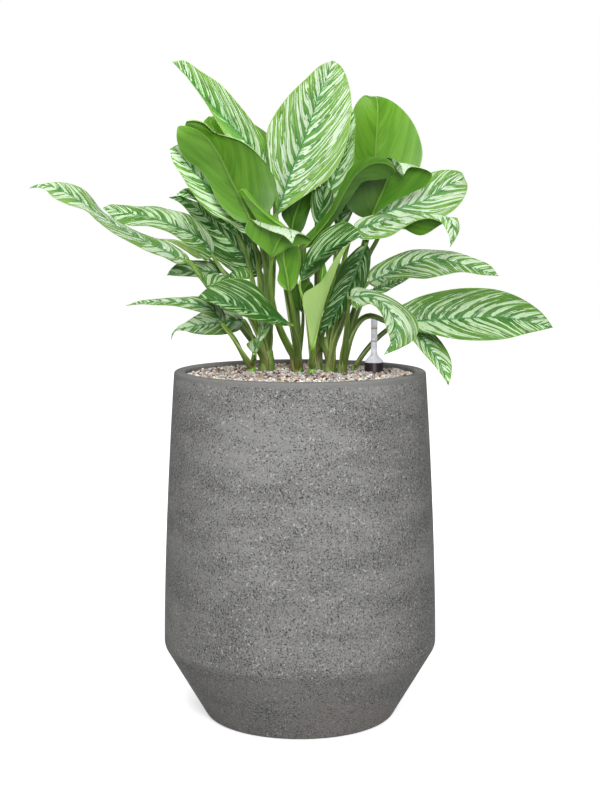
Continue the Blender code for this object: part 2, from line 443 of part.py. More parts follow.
SHOOTS = {
    "shoot_left_front": Shoot(
        column=251.5,
        toward=-46,
        radius=7.5,
        top=364,
        stalks={
            "leaf_left_slender": Stalk(
                route=((251.3, 368, -46), (248.6, 364, -38), (245, 358, -22), (239, 347, 0),
                    (232, 336, 21), (226, 329, 33), (223, 325, 40)),
                foot=5,
                neck=3,
            ),
            "leaf_left_low": Stalk(
                route=((251.7, 367, -46), (253.5, 360, -40), (254, 348, -32), (252, 336, -24),
                    (248, 326, -16), (244, 320, -10)),
                foot=3,
                neck=2.2,
            ),
            "leaf_small_curled": Stalk(
                route=((251.7, 366, -45), (253.5, 363, -30), (254.5, 361, -10), (254.5, 358, 14),
                    (254, 354, 36)),
                foot=3,
                neck=2,
            ),
        },
    ),
    "shoot_left": Shoot(
        column=267,
        toward=-60,
        radius=13.5,
        top=352,
        stalks={
            "leaf_left_outermost": Stalk(
                route=((264.3, 370, -58), (264, 358, -57), (258, 347, -51), (248, 334, -42),
                    (238, 321, -36), (228, 310, -30), (217, 297, -22), (207, 284, -14), (197, 271, -12),
                    (190, 262, -13)),
                foot=7.5,
                neck=4,
            ),
            "leaf_left_outer": Stalk(
                route=((264.3, 370, -60), (264, 350, -60), (257, 332, -60), (247, 312, -60),
                    (236, 293, -60), (226, 276, -60), (218, 264, -60), (213, 256, -60)),
                foot=5,
                neck=3,
            ),
            "leaf_left_shaded": Stalk(
                route=((267, 370, -61), (267, 350, -62), (267, 338, -66), (267, 320, -70),
                    (266, 300, -72), (263, 286, -70), (259, 276, -66)),
                foot=5,
                neck=3,
            ),
            "leaf_left_inner": Stalk(
                route=((266.1, 370, -59), (266, 350, -58), (264, 332, -52), (262, 310, -44),
                    (260, 285, -32), (258, 262, -20), (255, 245, -9), (251, 234, -3)),
                foot=5,
                neck=3,
            ),
            "leaf_left_small_tip": Stalk(
                route=((265.2, 370, -60), (265, 352, -60), (263, 336, -57), (258, 312, -53),
                    (253, 285, -49), (248, 262, -44), (243, 246, -39), (238, 236, -35)),
                foot=5,
                neck=3,
            ),
            "leaf_left_broad": Stalk(
                route=((267.4, 370, -58), (267.5, 350, -57), (268, 333, -48), (268, 310, -32),
                    (267, 285, -14), (265, 262, 4), (261, 245, 18), (255.5, 231, 28), (251, 222, 35)),
                foot=5,
                neck=3,
            ),
            "leaf_left_low_shaded": Stalk(
                route=((266.1, 370, -62), (266, 350, -64), (262, 332, -72), (254, 310, -82),
                    (243, 291, -86), (231, 278, -84), (222, 272, -80)),
                foot=3,
                neck=2,
            ),
            "leaf_left_narrow": Stalk(
                route=((264.3, 370, -66), (264, 344, -70), (256, 320, -84), (244, 296, -98),
                    (230, 277, -104), (216, 264, -104), (206, 257.5, -102)),
                foot=3,
                neck=2,
            ),
            "leaf_upper_left_long": Stalk(
                route=((267.4, 370, -61), (267.5, 350, -61), (269, 335, -61), (271, 305, -60),
                    (273, 270, -57), (274, 235, -52), (275, 212, -47), (274, 198, -45)),
                foot=5,
                neck=3,
            ),
            "leaf_upper_left_round": Stalk(
                route=((268.4, 370, -65), (268.5, 338, -68), (269, 310, -76), (269, 275, -84),
                    (268, 240, -88), (265, 212, -90), (262, 196, -90)),
                foot=3.6,
                neck=2.4,
            ),
            "leaf_back_spear": Stalk(
                route=((269.2, 370, -63), (269.5, 330, -65), (271, 300, -69), (271, 265, -72),
                    (270, 230, -74), (268.5, 206, -72), (268, 192, -70)),
                foot=3.4,
                neck=2,
            ),
            "leaf_back_4": Stalk(
                route=((268.4, 370, -65), (268.5, 346, -68), (270.5, 325, -90), (271, 295, -112),
                    (268.5, 262, -122), (262, 234, -110), (258, 217, -110)),
                foot=5,
                neck=3,
            ),
            "leaf_back_5": Stalk(
                route=((268.4, 370, -65), (268.6, 345, -68), (269.5, 325, -80), (268, 301, -90),
                    (263.5, 281, -96), (259, 268, -100)),
                foot=5,
                neck=3,
            ),
        },
    ),
    "shoot_centre": Shoot(
        column=297.5,
        toward=-34,
        radius=10.5,
        top=362,
        stalks={
            "leaf_front_left": Stalk(
                route=((297.5, 368, -30), (297.3, 360, -18), (297, 349, 6), (296, 338, 36),
                    (294, 330, 60), (292, 325, 78)),
                foot=5,
                neck=3,
            ),
            "leaf_centre_plain": Stalk(
                route=((297.1, 370, -30), (297, 357, -28), (296.5, 344, -19), (295, 328, -4),
                    (293, 312, 12), (291, 299, 24), (289, 291, 30)),
                foot=5,
                neck=3,
            ),
            "leaf_centre_folded": Stalk(
                route=((295.2, 370, -33), (295, 361, -32), (290, 351, -24), (282, 335, -8),
                    (275, 315, 14), (271.5, 297, 34), (270.5, 280, 50), (271, 266, 63), (272, 257, 70)),
                foot=5,
                neck=3,
            ),
            "leaf_young_rolled": Stalk(
                route=((297.1, 370, -32), (297, 347, -30), (296.5, 325, -21), (295.5, 300, -10),
                    (294.5, 275, 2), (293.5, 254, 14), (292, 241, 24), (290.5, 234, 38), (289, 230, 56)),
                foot=5,
                neck=3,
            ),
            "leaf_centre_shaded": Stalk(
                route=((297.1, 370, -36), (297, 350, -37), (296.5, 328, -44), (295, 298, -52),
                    (294, 268, -58), (293, 246, -60), (292, 233, -60)),
                foot=3.6,
                neck=2.4,
            ),
            "leaf_front_left_tip_down": Stalk(
                route=((293.1, 370, -30), (290, 350, -28), (281, 333, -14), (270, 314, 2),
                    (258, 299, 14), (247, 289, 24), (237, 281, 36), (229, 275.5, 45)),
                foot=3,
                neck=2,
            ),
            "leaf_centre_small": Stalk(
                route=((298.4, 370, -33), (298.5, 360, -32), (300, 348, -24), (302, 333, -10),
                    (303, 321, 0), (303, 313, 10)),
                foot=3.2,
                neck=2,
            ),
            "leaf_tall_centre": Stalk(
                route=((296.6, 370, -34), (296.5, 354, -34), (294, 338, -31), (289.5, 312, -26),
                    (285, 282, -22), (281, 252, -19), (278, 229, -15), (276, 216, -10)),
                foot=4.5,
                neck=3.4,
            ),
        },
    ),
    "shoot_front": Shoot(
        column=311.5,
        toward=-2,
        radius=5.5,
        top=366,
        stalks={
            "leaf_front_pale": Stalk(
                route=((311.7, 367, 0), (312, 363, 16), (312.3, 359, 34), (312.7, 353, 52),
                    (313, 348, 65)),
                foot=4.2,
                neck=3.2,
            ),
            "leaf_centre_right": Stalk(
                route=((311.5, 367, -1), (311, 356, 2), (309.5, 340, 9), (307.5, 318, 18),
                    (304.6, 303, 23), (301.2, 293, 29), (299.6, 286, 35), (300, 281, 40)),
                foot=3.4,
                neck=1.7,
            ),
            "leaf_young_spear": Stalk(
                route=((311.7, 367, -1), (312.8, 353, 1), (315, 336, 6), (318, 316, 11),
                    (320.5, 300, 14), (322, 290, 16)),
                foot=2.8,
                neck=1.8,
            ),
        },
    ),
    "shoot_right": Shoot(
        column=329.5,
        toward=-32,
        radius=9.5,
        top=362,
        stalks={
            "leaf_right_arching": Stalk(
                route=((327.7, 370, -31), (327.5, 358, -31), (323, 345, -27), (317, 325, -18),
                    (311, 301, -6), (306.5, 276, 8), (304.5, 259, 20), (304, 248, 32)),
                foot=4.2,
                neck=3.4,
            ),
            "leaf_right_hooded": Stalk(
                route=((333.1, 370, -32), (333.5, 345, -32), (340, 325, -31), (348, 299, -30),
                    (356, 271, -28), (363, 246, -24), (368, 227, -18), (371, 217, -12)),
                foot=5,
                neck=3,
            ),
            "leaf_right_broad": Stalk(
                route=((333.1, 370, -34), (333.5, 347, -36), (340.5, 328, -43), (349, 303, -50),
                    (358, 276, -54), (365, 249, -52), (368, 233, -48), (369.4, 224, -44),
                    (372, 217, -40)),
                foot=5,
                neck=3,
            ),
            "leaf_right_overhanging": Stalk(
                route=((330.9, 370, -30), (331, 344, -29), (334, 322, -23), (338, 297, -16),
                    (342, 272, -9), (346, 252, -2), (349, 241, 4), (350.4, 235, 10), (352, 231, 15)),
                foot=5,
                neck=3,
            ),
            "leaf_centre_pointed": Stalk(
                route=((329.1, 370, -32), (329, 345, -32), (327, 322, -31), (324, 292, -30),
                    (321, 262, -29), (319.5, 240, -29), (319, 228, -30)),
                foot=3.4,
                neck=2.2,
            ),
            "leaf_right_shaded": Stalk(
                route=((329.9, 370, -32), (330, 347, -32), (331, 325, -31), (333, 295, -29),
                    (334.5, 264, -27), (336, 241, -26), (337, 229, -25)),
                foot=3.4,
                neck=2.2,
            ),
            "leaf_front_hanging": Stalk(
                route=((332.6, 370, -31), (333, 345, -31), (339.5, 325, -28), (347, 302, -23),
                    (355, 278, -18), (362, 257, -12), (366.5, 242.5, -10), (367.5, 238.6, 3),
                    (366, 243, 14)),
                foot=5,
                neck=3,
            ),
        },
    ),
    "shoot_outer_right": Shoot(
        column=342,
        toward=-22,
        radius=9,
        top=362,
        stalks={
            "leaf_right_outermost": Stalk(
                route=((344.2, 370, -20), (344.5, 364, -19), (347.5, 350, -13), (351.5, 336, -8),
                    (357, 325, -5), (363, 318.5, -3), (370, 316, -1), (378, 318, 0), (386, 321.5, 1),
                    (394, 322.5, 3), (402, 321, 7)),
                foot=5,
                neck=3.4,
            ),
            "leaf_front_drooping": Stalk(
                route=((343, 366, -19), (345, 353, -8), (346.5, 337, 12), (347.5, 321, 41),
                    (348, 309, 60), (348.6, 301.5, 69), (350, 298, 80)),
                foot=4.2,
                neck=3,
            ),
            "leaf_right_middle": Stalk(
                route=((343.8, 370, -24), (344, 357, -25), (347, 341, -31), (351, 322, -39),
                    (356.5, 303, -44), (362, 290, -44), (368, 283, -40)),
                foot=5,
                neck=3,
            ),
            "leaf_right_middle_behind": Stalk(
                route=((343.8, 370, -25), (344, 360, -27), (347.5, 346, -40), (353, 327, -59),
                    (359.5, 309, -73), (366, 296, -78), (372, 290, -75)),
                foot=3.4,
                neck=2.4,
            ),
        },
    ),
    "shoot_slanting": Shoot(
        column=353,
        toward=-48,
        radius=4.2,
        top=366,
        stalks={
            "leaf_right_low": Stalk(
                route=((355, 366.5, -49), (361, 357.5, -53), (370, 346, -57), (379, 337, -57),
                    (386, 331, -55), (394, 325.5, -50), (404, 325, -41), (414, 328, -30)),
                foot=4.2,
                neck=3.2,
            ),
        },
    ),
    "shoot_back": Shoot(
        column=318,
        toward=-75,
        radius=8,
        top=362,
        stalks={
            "leaf_back_1": Stalk(
                route=((316.2, 370, -76), (316, 345, -77), (311, 320, -84), (304, 285, -94),
                    (297, 250, -102), (291, 222, -106), (286, 206, -110)),
                foot=5,
                neck=3,
            ),
            "leaf_back_2": Stalk(
                route=((317.1, 370, -76), (317, 346, -76), (313, 322, -82), (308, 290, -89),
                    (303, 258, -94), (299, 230, -98), (297, 214, -100)),
                foot=5,
                neck=3,
            ),
            "leaf_back_7": Stalk(
                route=((318, 370, -76), (318, 344, -76), (318, 315, -82), (317.5, 280, -89),
                    (317, 240, -98), (317, 205, -108), (318, 180, -120)),
                foot=5,
                neck=3,
            ),
            "leaf_tall_behind": Stalk(
                route=((318.3, 370, -74), (318.3, 345, -74), (319, 320, -72), (319.5, 290, -69),
                    (320, 258, -64), (320, 230, -59), (320, 216, -55)),
                foot=3.8,
                neck=2.6,
            ),
            "leaf_back_3": Stalk(
                route=((319.8, 370, -76), (320, 346, -76), (324, 325, -80), (330, 298, -86),
                    (337, 265, -92), (343, 235, -96), (347, 216, -100)),
                foot=5,
                neck=3,
            ),
            "leaf_upper_right": Stalk(
                route=((318.4, 370, -75), (318.5, 354, -75), (324, 345, -77), (335, 328, -82),
                    (349, 304, -86), (362, 276, -88), (370, 253, -88), (377.5, 239, -88),
                    (381, 226, -88), (377, 214, -90)),
                foot=5,
                neck=3,
            ),
            "leaf_back_6": Stalk(
                route=((318.4, 370, -76), (318.5, 355, -76), (325, 345, -88), (334, 333, -102),
                    (341, 320, -110), (344, 310, -110)),
                foot=3.6,
                neck=2.6,
            ),
        },
    ),
}


def clear_scene():
    """Remove what the startup file holds."""
    for thing in list(bpy.data.objects):
        bpy.data.objects.remove(thing, do_unlink=True)


def material(name, colour, roughness):
    """A Principled material of one colour."""
    made = bpy.data.materials.new(name)
    made.use_nodes = True
    shader = made.node_tree.nodes["Principled BSDF"]
    shader.inputs["Base Color"].default_value = (*colour, 1.0)
    shader.inputs["Roughness"].default_value = roughness
    shader.inputs["Metallic"].default_value = 0.0
    made.diffuse_color = (*colour, 1.0)
    return made


def add_object(name, mesh, finish):
    """Link a mesh to the scene as an object of its own, shaded smooth."""
    made = bpy.data.objects.new(name, mesh)
    bpy.context.scene.collection.objects.link(made)
    if finish is not None:
        mesh.materials.append(finish)
    mesh.shade_smooth()
    return made


def mesh_of(name, build):
    """A mesh filled by a function that works on a bmesh, with its normals turned outward."""
    work = bmesh.new()
    build(work)
    bmesh.ops.remove_doubles(work, verts=work.verts[:], dist=1e-6)
    bmesh.ops.recalc_face_normals(work, faces=work.faces[:])
    mesh = bpy.data.meshes.new(name)
    work.to_mesh(mesh)
    work.free()
    return mesh


def rounded(corners, steps=2):
    """The outline through (radius, height, rounding) corners, each rounding drawn as an arc."""
    points = []
    for index, (radius, height, rounding) in enumerate(corners):
        here = Vector((radius, height))
        if rounding == 0:
            points.append(here)
            continue
        before = (Vector(corners[index - 1][:2]) - here).normalized()
        after = (Vector(corners[index + 1][:2]) - here).normalized()
        half = before.angle(after) / 2
        reach = rounding / math.tan(half)
        centre = here + (before + after).normalized() * (rounding / math.sin(half))
        start = here + before * reach - centre
        finish = here + after * reach - centre
        turn = start.angle_signed(finish)
        for step in range(steps + 1):
            angle = -turn * step / steps
            spoke = Vector(
                (
                    start.x * math.cos(angle) - start.y * math.sin(angle),
                    start.x * math.sin(angle) + start.y * math.cos(angle),
                )
            )
            points.append(centre + spoke)
    return points


def lathe(name, outline, sides, finish, centre=(0.0, 0.0)):
    """A solid turned about the upright axis through centre, from a closed (radius, height) outline."""

    def build(work):
        ring = [
            work.verts.new((centre[0] * MM + radius * MM, centre[1] * MM, height * MM))
            for radius, height in outline
        ]
        edges = [work.edges.new(pair) for pair in zip(ring, ring[1:] + ring[:1])]
        on_axis = [edge for edge in edges if all(v.co.x - centre[0] * MM < 1e-9 for v in edge.verts)]
        bmesh.ops.delete(work, geom=on_axis, context="EDGES_FACES")
        bmesh.ops.spin(
            work,
            geom=work.verts[:] + work.edges[:],
            cent=(centre[0] * MM, centre[1] * MM, 0.0),
            axis=(0.0, 0.0, 1.0),
            angle=math.tau,
            steps=sides,
        )

    return add_object(name, mesh_of(name, build), finish)


def cut(target, cutter):
    """Take the cutter out of the target and remove the cutter."""
    modifier = target.modifiers.new("Cut", "BOOLEAN")
    modifier.operation = "DIFFERENCE"
    modifier.object = cutter
    apply_modifiers(target)
    bpy.data.objects.remove(cutter, do_unlink=True)


def join(target, others):
    """Fuse the other objects into the target by one Boolean union and remove them."""
    group = bpy.data.collections.new("Joined")
    for other in others:
        group.objects.link(other)
    modifier = target.modifiers.new("Join", "BOOLEAN")
    modifier.operation = "UNION"
    modifier.operand_type = "COLLECTION"
    modifier.collection = group
    apply_modifiers(target)
    for other in others:
        bpy.data.objects.remove(other, do_unlink=True)
    bpy.data.collections.remove(group)


def apply_modifiers(target):
    """Replace the object's mesh by what its modifiers make of it."""
    bpy.context.view_layer.update()
    graph = bpy.context.evaluated_depsgraph_get()
    made = bpy.data.meshes.new_from_object(target.evaluated_get(graph))
    target.modifiers.clear()
    target.data = made


def wall_radius(height):
    """The outer radius of the planter's wall above the knee, in millimetres."""
    share = (height - PLANTER_KNEE_HEIGHT) / (PLANTER_HEIGHT - PLANTER_KNEE_HEIGHT)
    return PLANTER_KNEE_RADIUS - (PLANTER_KNEE_RADIUS - PLANTER_RIM_RADIUS) * share**PLANTER_TAPER_POWER


def inner_outline(inset, top, rounding):
    """Corners of the planter's cavity from the floor up, moved inward by the inset."""
    slope = (PLANTER_KNEE_RADIUS - PLANTER_FOOT_RADIUS) / PLANTER_KNEE_HEIGHT
    shift = PLANTER_WALL * math.hypot(1.0, slope) + inset
    floor = PLANTER_FLOOR + inset
    corners = [
        (PLANTER_FOOT_RADIUS + slope * floor - shift, floor, FOOT_ROUNDING),
        (PLANTER_KNEE_RADIUS - PLANTER_WALL - inset, PLANTER_KNEE_HEIGHT + INNER_KNEE_LIFT, KNEE_ROUNDING),
    ]
    for step in range(1, WALL_STEPS + 1):
        height = PLANTER_KNEE_HEIGHT + (PLANTER_HEIGHT - PLANTER_KNEE_HEIGHT) * step / WALL_STEPS
        if height < top:
            corners.append((wall_radius(height) - PLANTER_WALL - inset, height, 0))
    corners.append((wall_radius(top) - PLANTER_WALL - inset, top, rounding))
    return corners


def make_planter():
    """The pot: a flat foot, a slanting underside, a knee and a gently barrelled wall up to a rounded rim."""
    outer = [
        (PLANTER_FOOT_RADIUS, 0.0, FOOT_ROUNDING),
        (PLANTER_KNEE_RADIUS, PLANTER_KNEE_HEIGHT, KNEE_ROUNDING),
    ]
    for step in range(1, WALL_STEPS):
        height = PLANTER_KNEE_HEIGHT + (PLANTER_HEIGHT - PLANTER_KNEE_HEIGHT) * step / WALL_STEPS
        outer.append((wall_radius(height), height, 0))
    outer.append((PLANTER_RIM_RADIUS, PLANTER_HEIGHT, RIM_ROUNDING))
    inner = inner_outline(0.0, PLANTER_HEIGHT, RIM_ROUNDING)[::-1]
    corners = [(0.0, 0.0, 0), *outer, *inner, (0.0, PLANTER_FLOOR, 0)]
    stone = material("planter_stone", (0.23, 0.23, 0.225), 0.85)
    return lathe("planter", rounded(corners), PLANTER_SIDES, stone)


def make_granulate():
    """The fill of loose grains, slightly uneven on top, with a plain hole for each cane and for the gauge."""
    corners = [(0.0, PLANTER_FLOOR + GAP, 0), *inner_outline(GAP, GRANULATE_LEVEL, 0)]
    edge = corners[-1][0]
    for ring in range(GRANULATE_RINGS - 1, -1, -1):
        corners.append((edge * ring / GRANULATE_RINGS, GRANULATE_LEVEL, 0))
    grains = material("granulate", (0.55, 0.5, 0.47), 0.9)
    fill = lathe("granulate", rounded(corners), PLANTER_SIDES, grains)
    draw = random.Random(11)
    for vertex in fill.data.vertices:
        reach = math.hypot(vertex.co.x, vertex.co.y)
        if vertex.co.z > (GRANULATE_LEVEL - LEVEL_BAND) * MM and reach < (edge - EDGE_BAND) * MM:
            vertex.co.z += draw.uniform(-GRANULATE_BUMP, GRANULATE_BUMP) * MM
    for shoot in SHOOTS.values():
        radius = shoot.radius + HOLE_CLEARANCE
        cut(fill, hole(cane_place(shoot), radius, CANE_FOOT - GAP, CANE_SIDES))
    cut(fill, hole((GAUGE_X, GAUGE_Y), PIPE_RADIUS + HOLE_CLEARANCE, PIPE_FOOT - GAP, GAUGE_SIDES))
    return fill


def hole(centre, radius, foot, sides):
    """A round cutter that reaches from its foot to well above the granulate."""
    top = GRANULATE_LEVEL + HOLE_REACH
    return lathe("hole", [(0.0, foot), (radius, foot), (radius, top), (0.0, top)], sides, None, centre)


def make_gauge():
    """The water level gauge: slotted foot pipe, float with rod and red tip, clear cone and sight tube."""
    place = (GAUGE_X, GAUGE_Y)
    bore = PIPE_RADIUS - PIPE_WALL
    brown = material("gauge_brown", (0.035, 0.022, 0.028), 0.45)
    pipe = lathe(
        "gauge_pipe",
        [
            (0.0, PIPE_FOOT),
            (PIPE_RADIUS, PIPE_FOOT),
            (PIPE_RADIUS, PIPE_TOP),
            (bore, PIPE_TOP),
            (bore, PIPE_FOOT + PIPE_FLOOR),
            (0.0, PIPE_FOOT + PIPE_FLOOR),
        ],
        GAUGE_SIDES,
        brown,
        place,
    )
    for turn in (0.0, math.pi / 2):
        cut(pipe, slot_cutter(turn))
    clear = material("gauge_clear", (0.72, 0.72, 0.76), 0.15)
    inner = TUBE_RADIUS - TUBE_WALL
    collar = PIPE_TOP + GAP
    lip = bore - COLLAR_LIP
    lathe(
        "gauge_sight_tube",
        [
            (lip, collar),
            (PIPE_RADIUS, collar),
            (PIPE_RADIUS, collar + COLLAR_HEIGHT),
            (TUBE_RADIUS, CONE_TOP),
            (TUBE_RADIUS, TUBE_TOP - TUBE_CROWN),
            (TUBE_RADIUS - TUBE_CROWN, TUBE_TOP),
            (0.0, TUBE_TOP),
            (0.0, TUBE_TOP - TUBE_WALL),
            (inner - TUBE_CROWN, TUBE_TOP - TUBE_WALL),
            (inner, TUBE_TOP - TUBE_WALL - TUBE_CROWN),
            (inner, CONE_TOP),
            (lip, collar + COLLAR_HEIGHT),
        ],
        GAUGE_SIDES,
        clear,
        place,
    )
    float_foot = PIPE_FOOT + PIPE_FLOOR + GAP
    shoulder = float_foot + FLOAT_HEIGHT
    foam = material("gauge_float", (0.75, 0.74, 0.7), 0.7)
    lathe(
        "gauge_float",
        [
            (0.0, float_foot),
            (FLOAT_RADIUS, float_foot),
            (FLOAT_RADIUS, shoulder),
            (ROD_RADIUS, shoulder + FLOAT_SLOPE),
            (ROD_RADIUS, TIP_FOOT - GAP),
            (0.0, TIP_FOOT - GAP),
        ],
        GAUGE_SIDES,
        foam,
        place,
    )
    red = material("gauge_red", (0.5, 0.03, 0.02), 0.4)
    top = TIP_FOOT + TIP_HEIGHT
    tip = [(0.0, TIP_FOOT), (TIP_RADIUS, TIP_FOOT), (TIP_RADIUS, top), (0.0, top)]
    lathe("gauge_float_tip", tip, GAUGE_SIDES // 2, red, place)


def slot_cutter(turn):
    """A bar across the pipe's foot that opens two slots for water."""
    bar = mesh_of("slot", lambda work: bmesh.ops.create_cube(work, size=1.0))
    cutter = add_object("slot", bar, None)
    cutter.scale = (SLOT_REACH * MM, SLOT_WIDTH * MM, SLOT_HEIGHT * MM)
    cutter.rotation_euler.z = turn
    foot = PIPE_FOOT + PIPE_FLOOR + SLOT_LIFT
    cutter.location = (GAUGE_X * MM, GAUGE_Y * MM, (foot + SLOT_HEIGHT / 2) * MM)
    return cutter


def seen(column, row, toward):
    """The place of a point seen at a column and row, that far toward the viewer from the axis plane."""
    across = (column - MIDDLE_COLUMN) / COLUMNS_PER_SLOPE
    rise = (MIDDLE_ROW - row) / COLUMNS_PER_SLOPE
    ahead = math.cos(EYE_PITCH) + rise * math.sin(EYE_PITCH)
    climb = rise * math.cos(EYE_PITCH) - math.sin(EYE_PITCH)
    reach = (EYE_DISTANCE - toward) / ahead
    return Vector((across * reach, -toward, EYE_HEIGHT + climb * reach))


def shares_of(points):
    """How far along its length each point of a path lies, from 0 to 1."""
    reach = [0.0]
    for before, after in zip(points, points[1:]):
        reach.append(reach[-1] + (after - before).length)
    return [value / reach[-1] for value in reach]


def between(value, places, levels):
    """The level at a value, in straight steps between the given places."""
    for (low, start), (high, finish) in zip(zip(places, levels), zip(places[1:], levels[1:])):
        if value <= high:
            return start + (finish - start) * (value - low) / (high - low)
    return levels[-1]


def blade_curves(blade):
    """The midrib and the two margins of a blade as places, each from the blade's base to its tip."""
    rib = [seen(*point) for point in blade.rib]
    rib_shares = shares_of(rib)
    rib_toward = [point[2] for point in blade.rib]
    ends = (Vector(blade.rib[0][:2]), Vector(blade.rib[-1][:2]))
    curves = [rib]
    for margin in (blade.left, blade.right):
        shares = shares_of([ends[0], *(Vector(point[:2]) for point in margin), ends[1]])
        curve = [rib[0]]
        for (column, row, offset), share in zip(margin, shares[1:]):
            curve.append(seen(column, row, between(share, rib_shares, rib_toward) + offset))
        curves.append([*curve, rib[-1]])
    return curves


def cane_place(shoot):
    """Where a cane stands, as (x, y) in millimetres."""
    place = seen(shoot.column, CANE_ROW, shoot.toward)
    return place.x, place.y


def smooth_through(points, count, dense=16):
    """Points evenly spaced along the centripetal Catmull-Rom curve through the given ones, and its length."""
    path = [Vector(point) for point in points]
    path = [2 * path[0] - path[1], *path, 2 * path[-1] - path[-2]]
    fine = []
    for first, second, third, fourth in zip(path, path[1:], path[2:], path[3:]):
        before, span, after = [
            max((b - a).length, SHORTEST) ** 0.5
            for a, b in ((first, second), (second, third), (third, fourth))
        ]
        onward = (third - second) / span
        leave = (second - first) / before - (third - first) / (before + span) + onward
        arrive = onward - (fourth - second) / (span + after) + (fourth - third) / after
        for step in range(dense):
            share = step / dense
            square = share * share
            cube = square * share
            fine.append(
                (2 * cube - 3 * square + 1) * second
                + (cube - 2 * square + share) * leave * span
                + (3 * square - 2 * cube) * third
                + (cube - square) * arrive * span
            )
    fine.append(path[-2])
    reach = [0.0]
    for before, after in zip(fine, fine[1:]):
        reach.append(reach[-1] + (after - before).length)
    spaced = []
    place = 0
    for index in range(count):
        goal = reach[-1] * index / (count - 1)
        while place < len(reach) - 2 and reach[place + 1] < goal:
            place += 1
        share = (goal - reach[place]) / (reach[place + 1] - reach[place])
        spaced.append(fine[place].lerp(fine[place + 1], min(max(share, 0.0), 1.0)))
    return spaced, reach[-1]


def blade_grid(blade):
    """Rows of points across the blade, from the left margin over the midrib to the right margin."""
    curves = blade_curves(blade)
    length = smooth_through(curves[0], 2)[1]
    rows = min(max(round(length / BLADE_ROW_LENGTH) + 1, BLADE_FEWEST_ROWS), BLADE_MOST_ROWS)
    rib, left, right = [smooth_through(curve, rows)[0] for curve in curves]
    grid = []
    for row in range(rows):
        before = rib[max(row - 1, 0)]
        after = rib[min(row + 1, rows - 1)]
        near = min(max(row, 1), rows - 2)
        across = right[near] - left[near]
        up = across.cross(after - before).normalized()
        if row in (0, rows - 1):
            half = BLADE_BASE_HALF if row == 0 else BLADE_TIP_HALF
            side = across.normalized() * half
            margins = (rib[row] - side, rib[row] + side)
        else:
            margins = (left[row], right[row])
        width = (margins[1] - margins[0]).length / 2
        line = []
        for margin, order in ((margins[0], -1), (margins[1], 1)):
            shares = [column / SIDE_COLUMNS for column in range(SIDE_COLUMNS + 1)]
            half_row = [
                rib[row].lerp(margin, share) + up * (4 * BLADE_CUP * width * share * (1 - share))
                for share in shares
            ]
            line = half_row[::-1] if order < 0 else line + half_row[1:]
        grid.append(line)
    return grid


def make_leaf(name, blade, finish):
    """A leaf blade: a sheet of triangles through the grid, mirrored at the midrib, given its thickness."""
    grid = blade_grid(blade)
    columns = len(grid[0])
    points = [point * MM for line in grid for point in line]
    faces = []
    for row in range(len(grid) - 1):
        for column in range(columns - 1):
            low = row * columns + column
            high = low + columns
            if column < SIDE_COLUMNS:
                faces += [(low, low + 1, high), (low + 1, high + 1, high)]
            else:
                faces += [(low, low + 1, high + 1), (low, high + 1, high)]
    sheet = bpy.data.meshes.new(name)
    sheet.from_pydata(points, [], faces)
    made = add_object(name, sheet, finish)
    solidify = made.modifiers.new("Thickness", "SOLIDIFY")
    solidify.thickness = BLADE_THICKNESS * MM
    solidify.offset = 0.0
    return made


def tube(name, points, radii, sides):
    """A closed round bar through the points."""

    def build(work):
        rings = []
        side = None
        for index, point in enumerate(points):
            ahead = (points[min(index + 1, len(points) - 1)] - points[max(index - 1, 0)]).normalized()
            if side is None:
                side = ahead.orthogonal()
            side = (side - ahead * side.dot(ahead)).normalized()
            other = ahead.cross(side)
            ring = []
            for step in range(sides):
                angle = math.tau * step / sides
                spoke = side * math.cos(angle) + other * math.sin(angle)
                ring.append(work.verts.new((point + spoke * radii[index]) * MM))
            rings.append(ring)
        for low, high in zip(rings, rings[1:]):
            for step in range(sides):
                following = (step + 1) % sides
                work.faces.new((low[step], low[following], high[following], high[step]))
        work.faces.new(rings[0][::-1])
        work.faces.new(rings[-1])

    return add_object(name, mesh_of(name, build), None)


def make_stalk(stalk):
    """A leaf stalk, slimmer toward its neck, that stops a gap short of the blade."""
    route = [seen(*point) for point in stalk.route]
    length = smooth_through(route, 2)[1]
    count = max(round(length / STALK_STEP) + 1, STALK_FEWEST_RINGS)
    points = smooth_through(route, count)[0]
    end = points[-1] - points[-2]
    points[-1] = points[-1] - end.normalized() * NECK_GAP
    radii = [stalk.foot + (stalk.neck - stalk.foot) * index / (count - 1) for index in range(count)]
    points.insert(-1, points[-1] - end.normalized() * NECK_LENGTH)
    radii[-1:] = [stalk.neck, stalk.neck * NECK_SHARE]
    return tube("stalk", points, radii, STALK_SIDES)


def make_shoot(name, shoot, finish):
    """A cane that stands in the granulate, with its leaf stalks fused to it."""
    crown = GRANULATE_LEVEL + CROWN_LIFT
    top = seen(shoot.column, shoot.top, shoot.toward).z
    cane = lathe(
        name,
        [
            (0.0, CANE_FOOT),
            (shoot.radius, CANE_FOOT),
            (shoot.radius, crown),
            (shoot.radius * CANE_TAPER, top),
            (0.0, top + shoot.radius * CANE_DOME),
        ],
        CANE_SIDES,
        finish,
        cane_place(shoot),
    )
    join(cane, [make_stalk(stalk) for stalk in shoot.stalks.values()])
    return cane


def main():
    """Build every piece of the potted plant."""
    clear_scene()
    make_planter()
    make_granulate()
    make_gauge()
    stalk_green = material("stalk_green", (0.17, 0.28, 0.06), 0.5)
    leaf_green = material("leaf_green", (0.16, 0.33, 0.09), 0.42)
    for name, shoot in SHOOTS.items():
        make_shoot(name, shoot, stalk_green)
    for name, blade in LEAVES.items():
        make_leaf(name, blade, leaf_green)


main()
